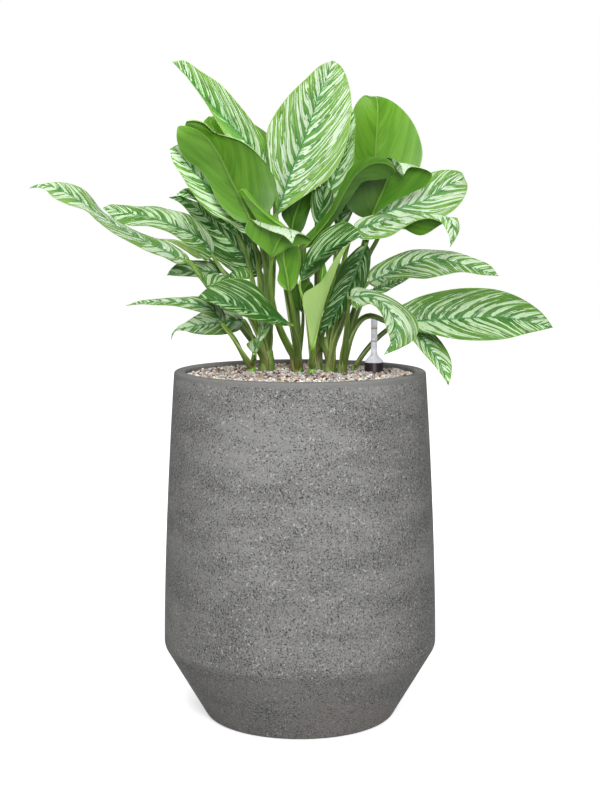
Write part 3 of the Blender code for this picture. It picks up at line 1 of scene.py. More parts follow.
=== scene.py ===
"""The look of a potted chinese evergreen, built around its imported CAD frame.

The planter, the granulate, the water level gauge, the canes with their leaf stalks and the leaf blades
are each a class that holds its sizes, builds its meshes and dresses them. Lengths are in millimetres
until a mesh is made, and a mesh is in metres, with its place in its points.
"""

import logging
import math
from dataclasses import dataclass, field
from enum import Enum

import bpy
import numpy as np
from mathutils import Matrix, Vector


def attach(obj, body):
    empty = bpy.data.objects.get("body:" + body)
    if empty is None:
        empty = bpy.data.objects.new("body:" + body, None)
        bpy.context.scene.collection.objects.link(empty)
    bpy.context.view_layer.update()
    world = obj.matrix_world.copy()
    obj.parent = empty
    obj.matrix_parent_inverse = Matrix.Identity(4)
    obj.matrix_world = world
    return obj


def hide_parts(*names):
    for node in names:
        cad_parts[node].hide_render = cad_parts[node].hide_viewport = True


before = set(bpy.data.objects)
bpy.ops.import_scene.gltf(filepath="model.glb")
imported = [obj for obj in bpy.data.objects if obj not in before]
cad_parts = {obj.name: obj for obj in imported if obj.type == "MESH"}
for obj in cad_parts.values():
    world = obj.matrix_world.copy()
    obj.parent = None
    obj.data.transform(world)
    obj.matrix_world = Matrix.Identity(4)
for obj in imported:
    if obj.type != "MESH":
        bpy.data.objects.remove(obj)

LOG = logging.getLogger("potted_evergreen")
MM = 0.001
BODY = "root"
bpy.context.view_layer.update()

Colour = tuple[float, float, float]
Point = tuple[float, float, float]


@dataclass(frozen=True)
class Sight:
    """The camera's place, and the turning of points read in the picture into places.

    A picture point is (column, row, toward): a column and a row of the 600 by 800 picture, and how far
    the point stands from the pot's axis plane toward the viewer.
    """

    distance: float = 2382.0
    height: float = 769.0
    pitch: float = math.radians(6.6)
    columns_per_slope: float = 1552.0
    middle_column: float = 300.0
    middle_row: float = 400.0
    long_side: float = 800.0
    sensor: float = 36.0

    def places(self, points: tuple[Point, ...] | np.ndarray) -> np.ndarray:
        """Places of picture points: the ray through column and row, followed to its depth.

        Args:
            points: picture points, one to a row.

        Returns:
            Their places in millimetres, one to a row.
        """
        column, row, toward = np.asarray(points, float).T
        across = (column - self.middle_column) / self.columns_per_slope
        rise = (self.middle_row - row) / self.columns_per_slope
        ahead = math.cos(self.pitch) + rise * math.sin(self.pitch)
        climb = rise * math.cos(self.pitch) - math.sin(self.pitch)
        reach = (self.distance - toward) / ahead
        return np.stack([across * reach, -toward, self.height + climb * reach], axis=1)


SIGHT = Sight()


@dataclass(frozen=True)
class Blade:
    """A leaf blade as read from the picture.

    The midrib runs from base to tip. Each margin point is (column, row, offset), where the offset is how
    much nearer the viewer it stands than the midrib does at the same share of its length. Left and right
    are as seen on the upper face with the tip up.
    """

    rib: tuple[Point, ...]
    left: tuple[Point, ...]
    right: tuple[Point, ...]


@dataclass(frozen=True)
class Stalk:
    """A leaf stalk as read from the picture: its route from the cane to the blade, and its two radii."""

    route: tuple[Point, ...]
    foot: float
    neck: float


@dataclass(frozen=True)
class Shoot:
    """A cane as read from the picture, with its stalks by the name of the leaf that each carries."""

    column: float
    toward: float
    radius: float
    top: float
    stalks: dict[str, Stalk]


BLADES: dict[str, Blade] = {
    "leaf_upper_left_long": Blade(
        ((274, 198, -45), (262, 165, -50), (245, 141, -60), (226, 120, -70), (206, 99, -80), (189, 79, -90),
            (172.5, 62, -100)),
        ((256, 180, 10), (236, 152, 20), (217, 122, 24), (205, 102, 24), (192, 84, 20), (181, 70, 10)),
        ((277, 172, 10), (268, 146, 20), (254, 124, 24), (240, 106, 24), (220, 84, 20), (200, 70.5, 15),
            (184, 60.5, 5)),
    ),
    "leaf_upper_left_round": Blade(
        ((262, 196, -90), (240, 165, -110), (222, 142, -120), (211, 124, -126), (209, 116.5, -135)),
        ((262, 170, -10), (250, 145, -16), (234, 127, -16), (219, 117, -6)),
        ((238, 185, -10), (214, 160, -15), (202, 142, -15), (201, 129, -12), (204, 121, -5)),
    ),
    "leaf_left_broad": Blade(
        ((251, 222, 35), (243, 203, 40), (232, 182, 50), (219, 155, 65), (207, 138, 75), (196, 130, 80),
            (185, 126, 75)),
        ((268, 213, -10), (276, 192, -20), (274, 178, -28), (260, 158, -30), (240, 142, -26),
            (215, 134, -18), (197, 127, -8), (188, 123.8, -3)),
        ((240, 222, -3), (220, 205, -10), (208, 181, -16), (198, 168, -18), (186, 159.5, -16),
            (178.5, 147, -10), (176.5, 134, -5), (178.5, 126, -2)),
    ),
    "leaf_tall_centre": Blade(
        ((276, 216, -10), (283, 197, -14), (289, 178, -20), (296, 160, -25), (304, 140, -32),
            (311, 120, -40), (319, 96, -50), (327, 77, -64), (333, 60.5, -80)),
        ((275.5, 204, 8), (271.5, 178, 16), (267.5, 150, 21), (267, 131, 22), (276, 112, 21), (290, 94, 20),
            (305, 79.5, 15), (320, 66, 7)),
        ((289, 206.5, 6), (310, 192, 12), (330, 177, 17), (341, 160, 20), (348.5, 135, 22),
            (351.5, 107, 21), (349.5, 87, 16), (342, 67, 6)),
    ),
    "leaf_tall_behind": Blade(
        ((320, 216, -55), (328, 195, -60), (338, 170, -70), (345, 145, -80), (349, 125, -90),
            (352, 107, -100)),
        ((318, 200, 6), (322, 180, 10), (328, 155, 14), (335, 130, 13), (345, 112, 6)),
        ((330, 208, 5), (345, 190, 10), (353, 165, 14), (355, 140, 13), (355, 118, 6)),
    ),
    "leaf_left_inner": Blade(
        ((251, 234, -3), (238, 219, -2), (222, 201, 3), (206, 184, 8), (190, 167, 14), (178, 153, 16),
            (170, 149, 14)),
        ((243, 233, 5), (230, 223, 10), (211, 213, 14), (200, 203, 16), (189, 188, 16), (181, 174.5, 12),
            (172.5, 161, 6)),
        ((252, 222, 4), (242, 202, 8), (228, 182, 10), (208, 163, 12), (190, 149, 10), (177, 145, 4)),
    ),
    "leaf_left_small_tip": Blade(
        ((238, 236, -35), (217, 215, -34), (200, 200, -30), (188, 193, -28), (176.5, 194, -25)),
        ((225, 228, 6), (207, 212, 10), (195, 200, 9), (184, 197, 4)),
        ((230, 218, 6), (212, 202, 10), (197, 190, 10), (185, 188.5, 4)),
    ),
    "leaf_left_shaded": Blade(
        ((259, 276, -66), (245, 257, -64), (229, 240, -60), (212, 223, -56), (197, 208, -50),
            (183, 200, -46), (169, 197.5, -40)),
        ((245, 279, 0), (229, 269, -12), (212, 254, -20), (200, 236, -20), (190, 215, -15), (180, 203, -3)),
        ((264, 262, 6), (255, 243, 14), (240, 226, 16), (223, 213, 15), (206, 205.5, 11), (190, 199.5, 6),
            (180, 195.5, 3)),
    ),
    "leaf_left_outer": Blade(
        ((213, 256, -60), (206, 243, -60), (190, 233, -60), (172, 225, -56), (150, 217, -52),
            (126, 213, -48), (103, 208, -44)),
        ((206, 261, 5), (195, 251.5, 10), (182, 241, 15), (167, 231, 18), (150, 226, 19), (130, 226, 15),
            (117, 221.5, 8)),
        ((214, 245, 6), (205, 227, 12), (190, 215, 5), (172, 210.5, -10), (155, 206.5, -18),
            (138, 207, -17), (122, 205, -12), (110, 204.5, -5)),
    ),
    "leaf_left_outermost": Blade(
        ((190, 262, -13), (176, 256, -10), (160, 248, -6), (140, 238.5, 0), (121, 228, 6), (105, 218, 11),
            (92, 209.5, 16), (80, 201, 21), (65, 192.5, 26), (50, 186, 30), (38, 184.3, 33), (29, 188, 36)),
        ((178, 264, 6), (163, 256.5, 15), (147, 250.5, 20), (130, 243, 24), (111, 232, 26), (96, 221, 26),
            (85, 210, 22), (68, 204, 17), (54, 198, 10), (43, 188.5, 3)),
        ((188, 256, -7), (170, 243.5, -16), (150, 236.5, -22), (130, 228.5, -25), (115, 219, -26),
            (101.5, 208.5, -25), (92, 197.5, -22), (82, 188.5, -18), (66, 183, -11), (50, 183, -5)),
    ),
    "leaf_left_low_shaded": Blade(
        ((222, 272, -80), (204, 271, -80), (185, 272, -76), (167, 275, -72)),
        ((212, 277.5, 8), (195, 277, 11), (180, 276.5, 7)),
        ((216, 264, -8), (197, 260.5, -11), (180, 262.5, -8), (171, 269, -3)),
    ),
    "leaf_left_narrow": Blade(
        ((206, 257.5, -102), (192, 249.5, -102), (175, 241.8, -98), (159, 239, -94)),
        ((203, 252.5, -6), (189, 244, -9), (174, 239.3, -5)),
        ((198, 258.5, 6), (185, 250.5, 9), (172, 243.5, 5)),
    ),
    "leaf_front_left": Blade(
        ((292, 325, 78), (284, 322, 84), (268, 316, 96), (248, 310, 108), (226, 303.5, 118),
            (210, 299.5, 122), (197, 298, 124)),
        ((286, 326, 4), (271, 324, 12), (255, 320, 18), (240, 314, 20), (225, 308, 16), (210, 302.5, 7)),
        ((285, 319, -5), (276, 309, -12), (265, 295, -18), (252, 283, -21), (237, 278.5, -21),
            (219, 281.5, -16), (204, 291, -6)),
    ),
    "leaf_front_left_tip_down": Blade(
        ((229, 275.5, 45), (227, 276, 65), (225, 279, 83), (224.5, 287.5, 94)),
        ((240, 270, 2), (243.5, 266.5, 2), (251, 276.5, 3), (234, 279, 1)),
        ((213, 275.5, 2), (200, 276.5, 2), (207, 286.5, 2), (218, 282, 1)),
    ),
    "leaf_centre_folded": Blade(
        ((272, 257, 70), (275.5, 247, 80), (281, 237, 92), (287, 229, 106), (290, 231, 120),
            (292.5, 243.5, 130)),
        ((280, 253, 1), (290, 247, 1), (303, 244.5, 1), (311.5, 241.5, 1), (303, 235, 3), (297, 234, 2)),
        ((262, 249, 2), (250, 238, 2), (245, 231, 2), (249.5, 219.5, 2), (258, 225.5, 7), (271, 231, 5),
            (284, 235.5, 2)),
    ),
    "leaf_centre_plain": Blade(
        ((289, 291, 30), (287, 276, 34), (284, 262, 40), (284, 248, 46), (287, 237, 52)),
        ((293, 289, -1), (297.5, 281, -5), (300, 268, -8), (301, 256, -10), (297, 243, -8)),
        ((284, 289, -1), (277.5, 281, -5), (279, 268, -8), (275, 255, -10), (277, 244, -8)),
    ),
    "leaf_young_rolled": Blade(
        ((289, 230, 56), (274, 221, 62), (261, 210, 70), (250, 199, 78), (242, 189.5, 86), (238, 192, 92)),
        ((282, 223, -6), (270, 213.5, -12), (260, 206, -13), (251, 195, -10), (244.5, 188.3, -4)),
        ((274, 226, -6), (259, 221, -12), (250.5, 209.5, -13), (243, 198, -10), (239, 191.5, -3)),
    ),
    "leaf_centre_shaded": Blade(
        ((292, 233, -60), (293, 222, -64), (297, 210, -70), (301, 198, -80), (304, 186, -90)),
        ((301, 232, -3), (308, 216, -7), (312, 200, -9), (310, 190, -5)),
        ((288, 226, -3), (281.5, 214, -7), (286, 203, -9), (295, 192, -5)),
    ),
    "leaf_centre_pointed": Blade(
        ((319, 228, -30), (320, 215, -32), (323, 200, -36), (324, 184, -40)),
        ((314, 221, 2), (310.5, 206, 5), (313, 192, 4)),
        ((326, 217, 2), (332, 205, 5), (333, 193, 4)),
    ),
    "leaf_right_shaded": Blade(
        ((337, 229, -25), (342, 215, -30), (347, 203, -35), (352, 190, -40)),
        ((334, 220, 3), (337, 208, 6), (343, 196, 5)),
        ((345, 226, 3), (352, 214, 6), (356, 200, 5)),
    ),
    "leaf_upper_right": Blade(
        ((377, 214, -90), (376, 190, -86), (375.5, 158, -80), (377, 128, -76), (378, 110, -80),
            (376, 98, -92), (371.5, 96.5, -105)),
        ((394, 206, -4), (413, 182, -12), (422.5, 156, -18), (418, 133, -20), (407, 114, -18),
            (392, 101, -12), (380, 96.8, -4)),
        ((366, 206, -4), (354, 180, -14), (350, 150, -20), (350, 125, -20), (355, 106, -14),
            (364, 95.5, -4)),
    ),
    "leaf_right_arching": Blade(
        ((304, 248, 32), (318, 233, 42), (333, 214, 52), (345, 192, 62), (356, 175, 72), (370, 164.5, 81),
            (384, 163, 90), (393, 167.5, 98), (396, 172, 102)),
        ((310, 247, -3), (325, 232, -7), (340, 213, -9), (352, 195.5, -10), (363, 182, -12),
            (378, 179.5, -14), (391, 177, -6)),
        ((303, 240, -3), (314, 227, -8), (330, 209, -12), (341, 186, -15), (352, 167, -15),
            (365, 158.5, -12), (380, 157, -9), (391, 161, -4)),
    ),
    "leaf_right_hooded": Blade(
        ((371, 217, -12), (375, 208, -2), (384, 188, 12), (391, 171, 28), (397, 162.5, 44), (401, 167, 55),
            (403, 176, 61)),
        ((379, 211.5, -1), (393, 202.5, -3), (412, 193, -3), (427, 185, -2), (432, 175, 0), (421, 168, 3),
            (409, 167.5, 2)),
        ((361, 217, -1), (347, 205, -3), (354, 191, -3), (363, 178, -2), (378, 165, 1), (389, 158, 2),
            (397, 170.5, 2)),
    ),
    "leaf_right_broad": Blade(
        ((372, 217, -40), (390, 211, -40), (410, 205.5, -40), (425, 200, -41), (440, 189.5, -44),
            (451, 183, -48), (465, 179, -54)),
        ((377, 206, -6), (390, 194, -14), (405, 183, -20), (420, 175.5, -20), (437, 171, -16),
            (450, 170, -10), (461.5, 172.5, -3)),
        ((383, 224, 6), (403, 229, 15), (424, 226, 20), (444, 217, 20), (458, 206.5, 16), (465, 196, 9),
            (467.5, 186, 3)),
    ),
    "leaf_right_overhanging": Blade(
        ((352, 231, 15), (365, 226, 20), (385, 220, 28), (405, 216, 38), (425, 214, 48), (440, 215, 58),
            (450, 218.5, 66), (453.5, 231, 70), (450, 247, 73)),
        ((356, 222, -4), (370, 215.5, -12), (388, 215, -20), (403, 228, -28), (420, 236, -30),
            (441, 225, -20), (456.5, 218, -9), (459.5, 229, -5), (455, 240, -2)),
        ((361, 239, 5), (376, 239.5, 12), (390, 236.5, 16), (404, 228, 15), (418, 220, 10), (430, 217.5, 8),
            (441, 222, 7), (446.5, 230.5, 4), (450, 240, 1)),
    ),
    "leaf_centre_right": Blade(
        ((300, 281, 40), (305, 271, 46), (314, 261, 54), (326, 251.5, 62), (340, 244, 70), (351, 239, 77),
            (361, 236, 82)),
        ((302, 264, -4), (311, 246, -12), (322, 232, -19), (335, 224.5, -20), (347, 222, -14),
            (356, 228, -5)),
        ((307, 279, -6), (316, 272, -13), (326, 262, -15), (336, 252, -13), (346, 245, -9),
            (355, 239.5, -3)),
    ),
    "leaf_front_pale": Blade(
        ((313, 348, 65), (317, 333, 70), (322, 312, 80), (327, 295, 88), (333, 277, 96), (341, 257, 104),
            (349, 243.5, 110), (358, 236.5, 115)),
        ((315, 340, -5), (319, 320, -15), (323, 303, -23), (327, 290, -26), (332, 275, -23),
            (339, 258, -15), (348, 244.5, -6)),
        ((310, 341, -2), (307, 322, -8), (302.5, 304, -14), (304, 293, -18), (313, 287.5, -19),
            (321, 282, -18), (331, 266, -12), (341, 251, -6)),
    ),
    "leaf_front_hanging": Blade(
        ((366, 243, 14), (361, 260, 22), (353, 280, 30), (343, 300, 36), (332, 319, 40), (320.5, 334, 44)),
        ((370, 250, 3), (370, 268, 8), (364, 288, 12), (351, 305, 12), (341, 317, 9), (331, 328, 4)),
        ((357, 248, -6), (343, 263, -12), (334, 285, -13), (327, 305, -10), (321, 324, -4)),
    ),
    "leaf_right_middle": Blade(
        ((368, 283, -40), (385, 275, -38), (400, 268, -35), (413, 262, -33), (430, 258, -30),
            (450, 261, -25), (475, 268, -20), (498.5, 275.8, -15)),
        ((370, 270, -10), (385, 259.5, -20), (400, 253.5, -24), (415, 250, -24), (440, 250.5, -22),
            (460, 253.5, -16), (480, 260, -8), (490, 265, -3)),
        ((375, 287, 8), (390, 280.5, 16), (406, 278, 20), (425, 279, 22), (441, 275, 20), (460, 272, 14),
            (482, 275, 7)),
    ),
    "leaf_right_middle_behind": Blade(
        ((372, 290, -75), (385, 286, -95), (397, 282, -120), (409, 278, -150)),
        ((377, 284, -8), (392, 278, -10), (402, 277, -6)),
        ((382, 293.5, 8), (393, 288, 10), (403, 282, 5)),
    ),
    "leaf_front_drooping": Blade(
        ((350, 298, 80), (362, 296, 88), (376, 299, 98), (387, 307, 106), (394, 319, 112), (396, 332, 116),
            (391, 345, 120), (384, 355, 122)),
        ((353, 288, -8), (368, 289.5, -14), (387, 296, -15), (403, 306, -14), (416, 318, -10),
            (419, 329, -7), (414, 340, -4), (402, 347.5, -2)),
        ((354, 308, 6), (362, 306, 10), (370, 303, 12), (376, 306, 12), (382, 315, 10), (386, 328, 7),
            (390, 342, 2)),
    ),
    "leaf_right_outermost": Blade(
        ((402, 321, 7), (415, 321, 11), (430, 320, 15), (450, 319, 20), (475, 317.5, 25), (500, 316.5, 30),
            (525, 321, 36), (553, 327.5, 42)),
        ((397, 309, -4), (408, 302, -10), (422, 295.5, -20), (442, 290.5, -26), (470, 288.3, -30),
            (496, 289.8, -30), (523, 299.5, -20), (542, 312.5, -8)),
        ((405, 327.5, 5), (416, 330, 10), (430, 334, 18), (450, 338.5, 26), (475, 341, 30),
            (505, 338.5, 26), (530, 333, 16), (545, 329.5, 6)),
    ),
    "leaf_right_low": Blade(
        ((414, 328, -30), (424, 341, -20), (434, 354, -10), (442, 367, 0), (448.5, 385.5, 10)),
        ((424, 328, -6), (436, 335, -12), (445, 347, -16), (451, 362, -12), (451, 376, -5)),
        ((411, 337, 6), (419, 348.5, 12), (430, 361, 14), (440, 373, 10), (446, 381, 4)),
    ),
    "leaf_left_slender": Blade(
        ((223, 325, 40), (218, 316, 48), (210, 308, 56), (195, 304, 65), (175, 302, 75), (150, 302, 83),
            (126, 305.5, 90)),
        ((217, 321, 4), (207, 315.5, 9), (195, 311, 12), (178, 307, 14), (160, 304.7, 10), (142, 303.7, 4)),
        ((226, 318, -4), (222, 309, -9), (212, 300, -12), (197, 296, -13), (178, 296.8, -12),
            (158, 299.3, -8), (140, 301, -3)),
    ),
    "leaf_left_low": Blade(
        ((244, 320, -10), (230, 321, -5), (215, 323, 0), (200, 325, 5), (187, 327.5, 8), (178, 329, 10),
            (172, 333, 14), (171, 340, 16)),
        ((241, 329, 6), (225, 334.5, 12), (208, 335, 14), (194, 333, 10), (184, 330.5, 5), (176, 331, 1)),
        ((238, 310, -6), (220, 308, -14), (205, 311, -16), (195, 316.5, -12), (186, 322.5, -6),
            (176, 328.2, -1)),
    ),
    "leaf_small_curled": Blade(
        ((254, 354, 36), (256, 346, 44), (260, 337, 52), (264, 328, 56), (265.5, 318, 58)),
        ((250, 350, 3), (246.5, 344, 6), (257, 337.5, 6), (258, 328, 5), (260, 320, 2)),
        ((258, 351, 0), (261, 342, 2), (268, 332, 4), (270.5, 324, 3)),
    ),
    "leaf_centre_small": Blade(
        ((303, 313, 10), (301, 305, 14), (301, 296, 18), (305, 288, 22), (311, 282, 26)),
        ((305.5, 309, 0), (307, 300, -3), (310, 293, -3), (313.5, 287, -1)),
        ((298, 309, 0), (291.5, 301, -3), (290.5, 292, -4), (297, 285, -3), (304, 281, -1)),
    ),
    "leaf_young_spear": Blade(
        ((322, 290, 16), (321.8, 280, 18), (322.5, 270, 20), (323.5, 258, 23)),
        ((325, 285, -2), (327, 275, -3), (325.5, 266, -2)),
        ((320, 284, -2), (319.5, 276, -3), (321.5, 266, -2)),
    ),
    "leaf_back_spear": Blade(
        ((268, 192, -70), (267.5, 170, -70), (266.7, 150, -72), (266, 133, -75)),
        ((266, 181, 5), (265, 162, 7), (265, 145, 5)),
        ((270, 181, 5), (270, 162, 7), (268.5, 145, 5)),
    ),
    "leaf_back_1": Blade(
        ((286, 206, -110), (272, 177, -120), (258, 152, -135), (245, 132, -150), (233, 118, -170)),
        ((293, 182, -8), (285, 153, -14), (268.5, 134.5, -13), (254, 124, -8), (242, 117, -3)),
        ((264, 197, -8), (242, 168, -14), (229, 142, -13), (228, 126, -6)),
    ),
    "leaf_back_2": Blade(
        ((297, 214, -100), (299, 180, -130), (298, 152, -170), (295, 138, -220), (290, 140, -270),
            (287, 152, -310)),
        ((313, 193, -5), (320, 166, -10), (320, 147, -10), (315, 136, -10), (303, 142, -5)),
        ((284, 195, -5), (277, 165, -10), (273, 145, -10), (272, 136, -10), (277, 142, -5)),
    ),
    "leaf_back_3": Blade(
        ((347, 216, -100), (361, 182, -140), (374, 152, -185), (385, 137, -230), (396, 136, -280),
            (403, 147, -320)),
        ((373, 196, -5), (391, 173, -10), (403, 154, -10), (409, 145, -10), (409, 146, -5)),
        ((349, 193, -5), (357, 160, -10), (366, 136, -10), (381, 121, -10), (396, 127, -5)),
    ),
    "leaf_back_4": Blade(
        ((258, 217, -110), (244, 190, -145), (228, 170, -190), (213, 160, -240), (200, 163, -280),
            (193, 173, -310)),
        ((265, 196, -5), (254, 170, -10), (238, 151, -10), (217, 145, -10), (201, 152, -5)),
        ((246, 212, -5), (226, 194, -10), (207, 180, -10), (196, 172, -10), (190, 172, -5)),
    ),
    "leaf_back_5": Blade(
        ((259, 268, -100), (248, 251, -130), (233, 238, -165), (217, 233, -205), (206, 240, -240)),
        ((259, 251, -5), (248, 234, -9), (233, 222, -9), (214, 223, -5)),
        ((252, 266, -5), (235, 254, -9), (217, 246, -9), (206, 243, -5)),
    ),
    "leaf_back_6": Blade(
        ((344, 310, -110), (351, 288, -140), (351, 270, -180), (347, 262, -220), (342, 272, -270)),
        ((355, 296, -5), (364, 280, -9), (364, 264, -9), (355, 258, -5)),
        ((337, 297, -5), (335, 276, -9), (335, 262, -9), (336, 262, -5)),
    ),
    "leaf_back_7": Blade(
        ((318, 180, -120), (320, 150, -160), (321, 122, -200), (322, 104, -250), (323, 100, -290),
            (325, 108, -330)),
        ((332, 163, -5), (341, 135, -10), (343, 110, -10), (340, 95, -10), (334, 98, -5)),
        ((307, 165, -5), (301, 138, -10), (300, 112, -10), (305, 100, -10), (314, 101, -5)),
    ),
}

